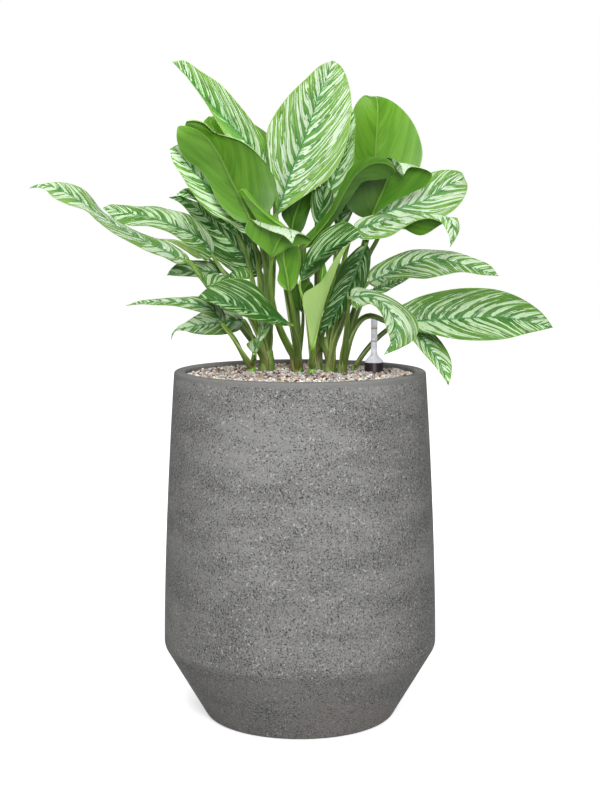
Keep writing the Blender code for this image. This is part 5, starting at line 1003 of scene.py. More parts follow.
@dataclass
class Shell:
    """A mesh being made: its points in millimetres, its faces, and what is painted on it."""

    name: str
    points: np.ndarray
    faces: list[np.ndarray]
    slots: list[int] = field(default_factory=list)
    painted: dict[str, np.ndarray] = field(default_factory=dict)
    chart: tuple[str, np.ndarray] | None = None

    def make(self, materials: list[bpy.types.Material], sharp: float | None = None) -> bpy.types.Object:
        """Put the points and faces into a mesh object at the origin.

        Args:
            materials: the materials, in the order that the faces' slots count them.
            sharp: the angle in degrees past which an edge stays crisp, or None for none.

        Returns:
            The new object.
        """
        mesh = bpy.data.meshes.new(self.name)
        mesh.vertices.add(len(self.points))
        mesh.vertices.foreach_set("co", (self.points * MM).astype(np.float32).ravel())
        corners = np.concatenate([faces.ravel() for faces in self.faces]).astype(np.int32)
        sizes = np.concatenate([np.full(len(faces), faces.shape[1]) for faces in self.faces])
        mesh.loops.add(len(corners))
        mesh.loops.foreach_set("vertex_index", corners)
        mesh.polygons.add(len(sizes))
        starts = np.concatenate([[0], np.cumsum(sizes)[:-1]]).astype(np.int32)
        mesh.polygons.foreach_set("loop_start", starts)
        mesh.polygons.foreach_set("use_smooth", np.ones(len(sizes), bool))
        if self.slots:
            numbers = np.concatenate([np.full(len(f), s) for f, s in zip(self.faces, self.slots)])
            mesh.polygons.foreach_set("material_index", numbers.astype(np.int32))
        mesh.update(calc_edges=True)
        for name, values in self.painted.items():
            layer = mesh.attributes.new(name, "FLOAT_VECTOR", "POINT")
            layer.data.foreach_set("vector", values.astype(np.float32).ravel())
        if self.chart is not None:
            name, places = self.chart
            chart = mesh.uv_layers.new(name=name)
            chart.data.foreach_set("uv", places[corners].astype(np.float32).ravel())
        for finish in materials:
            mesh.materials.append(finish)
        if sharp is not None:
            mesh.set_sharp_from_angle(angle=math.radians(sharp))
        made = bpy.data.objects.new(self.name, mesh)
        bpy.context.scene.collection.objects.link(made)
        return made


def settle(piece: bpy.types.Object, slot: str, *nodes: str) -> bpy.types.Object:
    """Tie a finished piece to the frame: it rides on the body and stands for its nodes."""
    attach(piece, BODY)
    if nodes:
        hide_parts(*nodes)
    LOG.info("%s: %d faces", piece.name, len(piece.data.polygons))
    return piece


def rounded(corners: list[Point], steps: int = 8) -> np.ndarray:
    """The outline through (radius, height, rounding) corners, each rounding drawn as an arc.

    An arc's centre lies on the corner's bisector, rounding / sin(half the corner's angle) away, and its
    points turn about that centre from one straight's foot to the next.

    Args:
        corners: the corners in order.
        steps: into how many stretches each arc is cut.

    Returns:
        The outline's (radius, height) points, one to a row.
    """
    outline = []
    for index, (radius, height, rounding) in enumerate(corners):
        corner = np.array([radius, height], float)
        if rounding == 0:
            outline.append(corner[None])
            continue
        before = unit(np.array(corners[index - 1][:2]) - corner)
        after = unit(np.array(corners[(index + 1) % len(corners)][:2]) - corner)
        half = math.acos(float(np.clip(before @ after, -1, 1))) / 2
        centre = corner + unit(before + after) * (rounding / math.sin(half))
        start = corner + before * (rounding / math.tan(half)) - centre
        finish = corner + after * (rounding / math.tan(half)) - centre
        turn = math.atan2(start[0] * finish[1] - start[1] * finish[0], float(start @ finish))
        angle = np.linspace(0.0, turn, steps + 1)
        spokes = (start[0] * np.cos(angle) - start[1] * np.sin(angle),
                  start[0] * np.sin(angle) + start[1] * np.cos(angle))
        outline.append(centre + np.stack(spokes, axis=1))
    return np.vstack(outline)


def turned(outline: np.ndarray, sides: int, centre: tuple[float, float] = (0.0, 0.0)) -> tuple:
    """A surface of revolution: each outline point (radius, height) is carried round the upright axis.

    An outline that starts and ends on the axis gets a pole at each end; another closes on itself.

    Args:
        outline: the (radius, height) points, up the outer side and down the inner one.
        sides: how many flats the surface has.
        centre: where its axis stands.

    Returns:
        The points and the list of face arrays.
    """
    angle = np.linspace(0.0, math.tau, sides, endpoint=False)
    poled = outline[0, 0] < 1e-6
    body = outline[1:-1] if poled else outline
    radius, height = body[:, :1], body[:, 1:]
    points = np.stack(
        [centre[0] + radius * np.cos(angle), centre[1] + radius * np.sin(angle), height + 0 * angle], axis=-1
    ).reshape(-1, 3)
    faces = [quads(len(body), sides, ring=True, loop=not poled)]
    if poled:
        ends = [(centre[0], centre[1], outline[0, 1]), (centre[0], centre[1], outline[-1, 1])]
        count = len(points)
        points = np.vstack([points, ends])
        ring = np.arange(sides)
        faces.append(fan(ring, count, False))
        faces.append(fan(ring + (len(body) - 1) * sides, count + 1, True))
    return points, faces


@dataclass
class Planter:
    """The pot: a flat foot, a slanting underside, a knee and a gently barrelled wall up to its rim."""

    height: float = 540.0
    rim_radius: float = 193.4
    knee_radius: float = 212.0
    knee_height: float = 114.0
    foot_radius: float = 145.0
    wall: float = 18.0
    floor: float = 20.0
    taper_power: float = 1.6
    knee_rounding: float = 24.0
    foot_rounding: float = 13.0
    rim_rounding: float = 4.0
    wall_steps: int = 24
    sides: int = 160

    def wall_radius(self, height: np.ndarray | float) -> np.ndarray | float:
        """Outer radius: the knee's, less a share of the taper that grows as a power of the height."""
        share = (height - self.knee_height) / (self.height - self.knee_height)
        return self.knee_radius - (self.knee_radius - self.rim_radius) * share**self.taper_power

    def cavity(self, inset: float, top: float, rounding: float) -> list[Point]:
        """Corners of the space inside, from the floor up.

        Args:
            inset: how far they are moved inward.
            top: the height of the last corner.
            rounding: that corner's rounding.

        Returns:
            The (radius, height, rounding) corners.
        """
        slope = (self.knee_radius - self.foot_radius) / self.knee_height
        shift = self.wall * math.hypot(1.0, slope) + inset
        floor = self.floor + inset
        knee_lift = 4.0
        corners = [
            (self.foot_radius + slope * floor - shift, floor, self.foot_rounding),
            (self.knee_radius - self.wall - inset, self.knee_height + knee_lift, self.knee_rounding),
        ]
        heights = np.linspace(self.knee_height, self.height, self.wall_steps + 1)[2:]
        corners += [(self.wall_radius(h) - self.wall - inset, h, 0) for h in heights if h < top - 1.0]
        corners.append((self.wall_radius(top) - self.wall - inset, top, rounding))
        return corners

    def build(self) -> bpy.types.Object:
        """Turn the outline about the axis and dress it in stone."""
        heights = np.linspace(self.knee_height, self.height, self.wall_steps + 1)[2:-1]
        outer = [
            (self.foot_radius, 0.0, self.foot_rounding),
            (self.knee_radius, self.knee_height, self.knee_rounding),
            *((float(self.wall_radius(h)), float(h), 0) for h in heights),
            (self.rim_radius, self.height, self.rim_rounding),
        ]
        inner = self.cavity(0.0, self.height, self.rim_rounding)[::-1]
        outline = rounded([(0.0, 0.0, 0), *outer, *inner, (0.0, self.floor, 0)])
        points, faces = turned(outline, self.sides)
        shell = Shell("stone_planter", points, faces)
        return settle(shell.make([StoneFinish().material()], 40.0), "planter_stone", "planter")


class Mineral(Enum):
    """The kinds of grain in the granulate, each with its colour."""

    WHITE = (0.78, 0.76, 0.72)
    CREAM = (0.66, 0.57, 0.44)
    GREY = (0.42, 0.45, 0.5)
    PINK = (0.5, 0.36, 0.3)
    RUST = (0.13, 0.045, 0.03)
    BROWN = (0.2, 0.13, 0.09)


@dataclass
class Granulate:
    """The fill: grains of a few millimetres on top of a plain body painted dark as the shade between them."""

    planter: Planter
    gap: float = 0.3
    level: float = 535.0
    bed: float = 532.0
    grains: int = 7600
    smallest: float = 1.3
    largest: float = 3.3
    sides: int = 96
    seed: int = 23

    def grain_shapes(self, count: int, draw: np.random.Generator) -> tuple[np.ndarray, np.ndarray]:
        """Rough lumps: the 12 corners of an icosahedron, each pushed in or out, then turned and stretched.

        Args:
            count: how many lumps.
            draw: the random source.

        Returns:
            The points (count, 12, 3) about the origin with radius about 1, and the 20 faces of one.
        """
        golden = (1 + 5**0.5) / 2
        base = [(0, a, b * golden) for a in (-1, 1) for b in (-1, 1)]
        corners = np.array(base + [(y, z, x) for x, y, z in base] + [(z, x, y) for x, y, z in base], float)
        corners /= np.linalg.norm(corners[0])
        edge = np.linalg.norm(corners[:, None] - corners[None], axis=2)
        near = (edge < edge[edge > 0].min() * 1.01) & (edge > 0)
        faces = []
        for a in range(12):
            for b in np.nonzero(near[a])[0]:
                for c in np.nonzero(near[a] & near[b])[0]:
                    if a < b < c:
                        out = np.cross(corners[b] - corners[a], corners[c] - corners[a]) @ corners[a]
                        faces.append((a, b, c) if out > 0 else (a, c, b))
        lumps = corners[None] * draw.uniform(0.72, 1.12, (count, 12, 1))
        lumps = lumps * draw.uniform(0.7, 1.25, (count, 1, 3))
        turns = np.linalg.qr(draw.normal(size=(count, 3, 3)))[0]
        turns *= np.sign(np.linalg.det(turns))[:, None, None]
        return np.einsum("nij,nkj->nki", turns, lumps), np.array(faces)

    def build(self, holes: list[tuple[float, float, float]]) -> bpy.types.Object:
        """Lay the grains in a sunflower spiral over the bed, clear of what stands in it.

        Grain k lies at radius edge * sqrt(k / count) and angle k times the golden angle, jittered.

        Args:
            holes: the (x, y, radius) of each cane and pipe.

        Returns:
            The granulate, body and grains in one.
        """
        corners = [(0.0, self.planter.floor + self.gap, 0), *self.planter.cavity(self.gap, self.bed, 0)]
        edge = corners[-1][0]
        outline = rounded([*corners, (0.0, self.bed, 0)])
        body, faces = turned(outline, self.sides)
        draw = np.random.default_rng(self.seed)
        order = np.arange(self.grains)
        size = draw.uniform(self.smallest, self.largest, self.grains)
        size = size * draw.choice([0.7, 1.0, 1.15], self.grains)
        reach = (edge - size) * np.sqrt((order + 0.5) / self.grains)
        angle = order * math.pi * (3 - 5**0.5)
        middle = np.stack([reach * np.cos(angle), reach * np.sin(angle)], axis=1)
        middle += draw.uniform(-1.2, 1.2, middle.shape)
        away = np.hypot(*middle.T)
        middle *= np.minimum(1.0, (edge - size * 1.1) / away)[:, None]
        clear = np.ones(self.grains, bool)
        for x, y, radius in holes:
            clear &= np.hypot(middle[:, 0] - x, middle[:, 1] - y) > radius + size * 0.7
        middle, size = middle[clear], size[clear]
        height = self.bed + draw.uniform(-0.3, 0.75, len(size)) * size
        lumps, pattern = self.grain_shapes(len(size), draw)
        place = np.column_stack([middle, height])
        grains = (place[:, None] + lumps * size[:, None, None]).reshape(-1, 3)
        grain_faces = (pattern[None] + 12 * np.arange(len(size))[:, None, None]).reshape(-1, 3)
        kinds = draw.choice(len(Mineral), len(size), p=[0.3, 0.2, 0.18, 0.16, 0.08, 0.08])
        palette = np.array([kind.value for kind in Mineral])
        tint = palette[kinds] * draw.uniform(0.75, 1.4, (len(size), 1))
        # painted shade: the plain body is painted dark, 0.12, for the shade in the gaps between the grains
        colours = np.vstack([np.full((len(body), 3), 0.12), np.repeat(tint, 12, axis=0)])
        shell = Shell(
            "loose_granulate", np.vstack([body, grains]), [*faces, grain_faces + len(body)],
            painted={"grain": colours},
        )
        return settle(shell.make([GrainFinish().material()], 25.0), "granulate", "granulate")


@dataclass
class Gauge:
    """The water level gauge: foot pipe, clear cone and sight tube with two ticks, float and red tip."""

    x: float = 116.0
    y: float = 40.0
    pipe_radius: float = 14.7
    pipe_wall: float = 1.8
    pipe_foot: float = 60.0
    pipe_floor: float = 3.0
    pipe_top: float = 548.0
    gap: float = 0.3
    collar: float = 2.0
    cone_top: float = 560.0
    tube_radius: float = 5.0
    tube_wall: float = 1.0
    tube_top: float = 622.0
    ticks: tuple[float, float] = (581.7, 602.0)
    tick_height: float = 1.6
    tip_foot: float = 558.8
    tip_radius: float = 2.4
    tip_height: float = 5.0
    float_radius: float = 11.0
    float_height: float = 60.0
    rod_radius: float = 1.2
    sides: int = 48

    def turn(self, name: str, corners: list[Point], finish: PlasticFinish, slot: str,
             *nodes: str) -> bpy.types.Object:
        """Turn one piece of the gauge about its axis, dress it and settle it.

        Args:
            name: the piece's name.
            corners: its outline as (radius, height, rounding) corners.
            finish: its plastic.
            slot: its material slot, which is not used.
            nodes: the CAD nodes that it stands for.

        Returns:
            The piece.
        """
        points, faces = turned(rounded(corners, 4), self.sides, (self.x, self.y))
        return settle(Shell(name, points, faces).make([finish.material()], 35.0), slot, *nodes)

    def build(self) -> None:
        """Make the pipe, the clear tube, its ticks, the float and the tip."""
        bore = self.pipe_radius - self.pipe_wall
        brown = PlasticFinish("gauge_brown_look", (0.035, 0.02, 0.026), 0.42)
        floor = self.pipe_foot + self.pipe_floor
        self.turn("gauge_foot", [
            (0.0, self.pipe_foot, 0), (self.pipe_radius, self.pipe_foot, 0.6),
            (self.pipe_radius, self.pipe_top, 0.6), (bore, self.pipe_top, 0.5),
            (bore, floor, 0.5), (0.0, floor, 0),
        ], brown, "gauge_brown", "gauge_pipe")
        inner = self.tube_radius - self.tube_wall
        collar = self.pipe_top + self.gap
        # painted light: the clear tube's glow of 0.2 stands in for the daylight showing through it
        clear = PlasticFinish("gauge_clear_look", (0.9, 0.9, 0.96), 0.18, 0.15, 0.2)
        self.turn("gauge_tube", [
            (bore - 1.0, collar, 0.2), (self.pipe_radius, collar, 0.5),
            (self.pipe_radius, collar + self.collar, 0.8), (self.tube_radius + 0.8, self.cone_top - 0.8, 1.5),
            (self.tube_radius, self.cone_top + 4.0, 2.0), (self.tube_radius, self.tube_top, 3.0),
            (0.0, self.tube_top, 0),
        ] + [
            (0.0, self.tube_top - self.tube_wall, 0), (inner, self.tube_top - self.tube_wall, 2.0),
            (inner, self.cone_top + 3.0, 1.5), (bore - 1.0, collar + self.collar + 0.6, 0.6),
        ], clear, "gauge_clear", "gauge_sight_tube")
        yellow = PlasticFinish("gauge_tick_look", (0.75, 0.55, 0.05), 0.5)
        ring, lift = self.tube_radius + 0.25, 0.02
        for number, tick in enumerate(self.ticks, 1):
            self.turn(f"gauge_tick_{number}", [
                (self.tube_radius + lift, tick - self.tick_height / 2, 0),
                (ring, tick - self.tick_height / 2, 0.1), (ring, tick + self.tick_height / 2, 0.1),
                (self.tube_radius + lift, tick + self.tick_height / 2, 0),
            ], yellow, "gauge_clear")
        foam = PlasticFinish("gauge_float_look", (0.7, 0.69, 0.64), 0.7)
        shoulder = floor + self.gap + self.float_height
        self.turn("gauge_float_body", [
            (0.0, floor + self.gap, 0), (self.float_radius, floor + self.gap, 1.5),
            (self.float_radius, shoulder, 2.0), (self.rod_radius, shoulder + 6.0, 1.0),
            (self.rod_radius, self.tip_foot - self.gap, 0), (0.0, self.tip_foot - self.gap, 0),
        ], foam, "gauge_float", "gauge_float")
        red = PlasticFinish("gauge_red_look", (0.6, 0.02, 0.015), 0.4)
        self.turn("gauge_red_tip", [
            (0.0, self.tip_foot, 0), (self.tip_radius, self.tip_foot, 0.5),
            (self.tip_radius, self.tip_foot + self.tip_height, 1.2),
            (0.0, self.tip_foot + self.tip_height, 0),
        ], red, "gauge_red", "gauge_float_tip")


@dataclass
class Canes:
    """The canes and their leaf stalks, each cane with its stalks one piece.

    Shades is how bright each cane is against the others: those in front stand in more light.
    """

    foot: float = 525.0
    ring_pitch: float = 16.0
    sides: int = 20
    stalk_step: float = 6.0
    cane_row: float = 373.0
    sheath_share: float = 0.6
    sheath_lip: float = 0.7
    shades: dict[str, float] = field(default_factory=lambda: {
        "shoot_left_front": 2.0,
        "shoot_left": 0.95,
        "shoot_centre": 1.05,
        "shoot_front": 2.1,
        "shoot_right": 0.9,
        "shoot_outer_right": 0.85,
        "shoot_slanting": 0.85,
        "shoot_back": 0.8,
    })

    def place(self, shoot: Shoot) -> np.ndarray:
        """Where a cane stands, as (x, y)."""
        return SIGHT.places(((shoot.column, self.cane_row, shoot.toward),))[0, :2]

    def tube(self, path: np.ndarray, radius: np.ndarray, facing: np.ndarray, sheath: np.ndarray,
             length: float) -> tuple:
        """A stalk: a round profile carried along a path, with a channel on the side it faces.

        At angle a from the facing side the radius is r * (1 - g * exp(-(a / 0.55)^2) + w * exp(-((|a| -
        1.15) / 0.34)^2)), a channel of depth g between two lips of height w that stand with the sheath.

        Args:
            path: the stalk's points.
            radius: its radius at each.
            facing: the direction that its channel faces at each.
            sheath: how much of a sheath it has at each, from 0 to 1.
            length: the path's length.

        Returns:
            The points, the list of face arrays, the chart and the paint.
        """
        rows = len(path)
        ahead = unit(np.gradient(path, axis=0))
        upward = unit(facing - ahead * np.sum(facing * ahead, axis=1, keepdims=True))
        beside = np.cross(upward, ahead)
        angle = np.linspace(-math.pi, math.pi, self.sides, endpoint=False)
        channel = np.exp(-((angle / 0.55) ** 2))
        lip = np.exp(-(((np.abs(angle) - 1.15) / 0.34) ** 2))
        swell = 1 - (0.22 + 0.25 * sheath[:, None]) * channel + self.sheath_lip * sheath[:, None] * lip
        spoke = radius[:, None] * swell
        points = (
            path[:, None]
            + (spoke * np.cos(angle))[..., None] * upward[:, None]
            + (spoke * np.sin(angle))[..., None] * beside[:, None]
        ).reshape(-1, 3)
        count = len(points)
        points = np.vstack([points, path[0], path[-1]])
        ring = np.arange(self.sides)
        faces = [quads(rows, self.sides, ring=True)[:, ::-1], fan(ring, count, True),
                 fan(ring + (rows - 1) * self.sides, count + 1, False)]
        share = np.linspace(0.0, 1.0, rows)
        chart = np.stack(np.broadcast_arrays(angle[None] * 0.5, share[:, None] * length * 0.1), axis=-1)
        edge = lip * sheath[:, None] * 0.9
        dry = np.clip(1 - share * 6, 0, 1)[:, None] + 0 * edge
        light = (0.85 + 0.3 * share)[:, None] + 0 * edge
        paint = np.stack([edge, dry, light], axis=-1).reshape(-1, 3)
        chart = np.vstack([chart.reshape(-1, 2), (0.0, 0.0), (0.0, length * 0.1)])
        return points, faces, chart, np.vstack([paint, paint[0], paint[-1]])

    def stalk(self, stalk: Stalk, blade: "BladeSurface") -> tuple:
        """A leaf stalk that slims toward its blade and ends as a fine keel under the midrib's foot.

        Args:
            stalk: the stalk as read.
            blade: the surface of the blade that it carries.

        Returns:
            What tube() returns.
        """
        route = SIGHT.places(stalk.route)
        keel = 0.16
        path, length = smooth_path(route, max(int(smooth_path(route, 2)[1] / self.stalk_step), 8))
        run = blade.keel(keel)
        path = np.vstack([path, run[1:]])
        share = np.linspace(0.0, 1.0, len(path) - len(run) + 1)
        radius = stalk.foot + (stalk.neck - stalk.foot) * share
        thin = np.linspace(1.0, 0.0, len(run))[1:] ** 0.8
        radius = np.concatenate([radius, stalk.neck * thin * 0.8 + 0.15])
        outward = unit(route[0] - route[-1]) * (1, 1, 0) + (0, 0, 0.6)
        blend = np.linspace(0.0, 1.0, len(path))[:, None] ** 0.7
        facing = unit(outward * (1 - blend) + blade.facing * blend)
        sheath = np.clip(1.25 - np.linspace(0, 1, len(path)) / self.sheath_share, 0, 1)
        return self.tube(path, radius, facing, sheath, length)

    def cane(self, shoot: Shoot) -> tuple:
        """An upright cane with leaf scars: its radius swells by a twentieth at every ring."""
        x, y = self.place(shoot)
        top = SIGHT.places(((shoot.column, shoot.top, shoot.toward),))[0, 2]
        height = np.arange(self.foot, top, 2.0)
        share = (height - self.foot) / (top - self.foot)
        ring = np.exp(-(((height % self.ring_pitch) - self.ring_pitch / 2) / 1.6) ** 2)
        radius = shoot.radius * (1.0 - 0.28 * share**1.5) * (1 + 0.06 * ring)
        crown = np.linspace(0.0, math.pi / 2, 7)[1:-1]
        last = radius[-1]
        path = np.column_stack([np.full_like(height, x), np.full_like(height, y), height])
        over = top + last * 0.6 * np.sin(crown)
        dome = np.column_stack([np.full_like(crown, x), np.full_like(crown, y), over])
        path = np.vstack([path, dome])
        radius = np.concatenate([radius, last * np.cos(crown)])
        facing = np.tile((0.0, -1.0, 0.0), (len(path), 1))
        return self.tube(path, radius, facing, np.zeros(len(path)), float(top - self.foot))

    def build(self, surfaces: dict[str, "BladeSurface"]) -> None:
        """Make each cane with its stalks, dress it and settle it."""
        finish = StalkFinish().material()
        for name, shoot in SHOOTS.items():
            parts = [self.cane(shoot)]
            parts += [self.stalk(stalk, surfaces[leaf]) for leaf, stalk in shoot.stalks.items()]
            starts = np.concatenate([[0], np.cumsum([len(part[0]) for part in parts])[:-1]])
            shell = Shell(
                name.removeprefix("shoot_") + "_cane",
                np.vstack([part[0] for part in parts]),
                [faces + start for part, start in zip(parts, starts) for faces in part[1]],
                painted={"tone": np.vstack([part[3] for part in parts]) * (1, 1, self.shades.get(name, 1.0))},
                chart=("stalk", np.vstack([part[2] for part in parts])),
            )
            settle(shell.make([finish], 60.0), "stalk_green", name)


class Side(Enum):
    """A side of the blade, as seen on its upper face with the tip up."""

    LEFT = 0
    RIGHT = 1


@dataclass(frozen=True)
class Curl:
    """A stretch of margin that rolls over: toward the upper face when up is 1, the under face when -1."""

    side: Side
    start: float
    end: float
    width: float
    degrees: float
    up: int


@dataclass(frozen=True)
class Dress:
    """How one blade is painted and rolled.

    Light, base, tip, left, right and under are painted light and shade: light is how brightly the whole
    blade is painted lit, base and tip that of its two ends, left and right that of its two halves, under that
    of its under face. The two pale shares are what the pale stripes take of each half, deep is how far its
    greens go to dark, partly the leaf's own darker green and partly painted shade deep in the foliage, and
    the paling share how far its under face goes to a light yellow-green.
    """

    light: float = 1.0
    base: float = 0.85
    tip: float = 1.0
    left: float = 1.0
    right: float = 1.0
    under: float = 1.0
    left_pale: float = 0.5
    right_pale: float = 0.5
    deep: float = 0.15
    paling: float = 0.0
    wave: float = 1.2
    curls: tuple[Curl, ...] = ()


DRESSES = {
    "leaf_upper_left_long": Dress(light=1.25, left_pale=0.3, left=1.05),
    "leaf_upper_left_round": Dress(light=1.5, tip=1.2),
    "leaf_left_broad": Dress(
        light=1.5, left=0.75, right=1.0, under=0.67, left_pale=0.9,
        curls=(Curl(Side.LEFT, 0.4, 0.97, 10.0, 170.0, -1), Curl(Side.LEFT, 0.8, 1.0, 18.0, 170.0, -1)),
    ),
    "leaf_tall_centre": Dress(left_pale=0.5, right_pale=0.47, deep=0.1),
    "leaf_tall_behind": Dress(light=1.35, deep=0.3),
    "leaf_left_inner": Dress(light=1.25, deep=0.3, left_pale=0.54, right_pale=0.54),
    "leaf_left_small_tip": Dress(light=1.25, deep=0.5),
    "leaf_left_shaded": Dress(light=1.05, base=0.7, deep=0.85, left_pale=0.47, right_pale=0.47),
    "leaf_left_outer": Dress(light=0.98, deep=0.4, base=0.7),
    "leaf_left_outermost": Dress(light=1.0, base=0.75),
    "leaf_left_low_shaded": Dress(light=0.7, deep=0.6),
    "leaf_left_narrow": Dress(under=2.0, paling=0.9),
    "leaf_front_left": Dress(light=0.68, deep=0.75, left_pale=0.41, right_pale=0.37, base=0.9),
    "leaf_front_left_tip_down": Dress(light=0.7, deep=0.6, left_pale=0.45, right_pale=0.45),
    "leaf_centre_folded": Dress(light=0.88, under=1.15, left_pale=0.7, right_pale=0.8, base=1.0),
    "leaf_centre_shaded": Dress(light=0.55, deep=0.4),
    "leaf_centre_pointed": Dress(light=0.65, deep=0.8, left_pale=0.45, right_pale=0.42),
    "leaf_right_shaded": Dress(light=0.36, deep=0.8, left_pale=0.4, right_pale=0.4),
    "leaf_upper_right": Dress(left=1.0, right=0.92, base=0.9, deep=0.05),
    "leaf_right_arching": Dress(light=0.58, deep=0.4, left=0.8, right=1.1),
    "leaf_right_hooded": Dress(left=1.0, right=0.4, left_pale=0.7, deep=0.3),
    "leaf_right_broad": Dress(light=0.95, left_pale=0.5, right_pale=0.48),
    "leaf_right_overhanging": Dress(base=0.9, tip=1.05, left_pale=0.5, right_pale=0.55),
    "leaf_centre_right": Dress(light=0.62, deep=0.8, base=0.8, tip=1.2, left_pale=0.44, right_pale=0.46),
    "leaf_front_pale": Dress(under=1.0, base=1.0, deep=0.0, paling=0.75),
    "leaf_front_hanging": Dress(light=0.47, deep=0.9, left_pale=0.38, right_pale=0.38),
    "leaf_right_middle": Dress(light=0.9, deep=0.25, left_pale=0.52, right_pale=0.5),
    "leaf_right_middle_behind": Dress(light=1.65, deep=0.4),
    "leaf_front_drooping": Dress(light=0.95, base=0.7, deep=0.3, left_pale=0.5, right_pale=0.5),
    "leaf_right_outermost": Dress(light=0.88, deep=0.45, left=0.9, left_pale=0.46, right_pale=0.52),
    "leaf_right_low": Dress(light=1.4, deep=0.2),
    "leaf_left_slender": Dress(light=0.85, deep=0.3),
    "leaf_left_low": Dress(light=0.85, left=0.75, deep=0.4, right_pale=0.65),
    "leaf_centre_small": Dress(light=0.36, deep=0.3),
    "leaf_young_spear": Dress(under=1.3),
    "leaf_back_1": Dress(light=0.8),
    **{f"leaf_back_{number}": Dress(light=0.6, deep=0.5) for number in range(2, 8)},
    "leaf_young_rolled": Dress(under=1.35),
    "leaf_small_curled": Dress(light=1.25),
}


@dataclass
class BladeSurface:
    """The middle surface of a blade on a grid of rows from base to tip and columns from left to right."""

    points: np.ndarray
    normals: np.ndarray
    along: np.ndarray
    across: np.ndarray
    share: np.ndarray
    vein: np.ndarray
    middle: int

    @property
    def facing(self) -> np.ndarray:
        """The direction of the upper face at the blade's foot."""
        return self.normals[1, self.middle]

    def keel(self, share: float) -> np.ndarray:
        """Points just under the midrib, from the foot to a share of the length."""
        last = max(int(len(self.points) * share), 4)
        return self.points[:last, self.middle] - self.normals[:last, self.middle] * 0.9


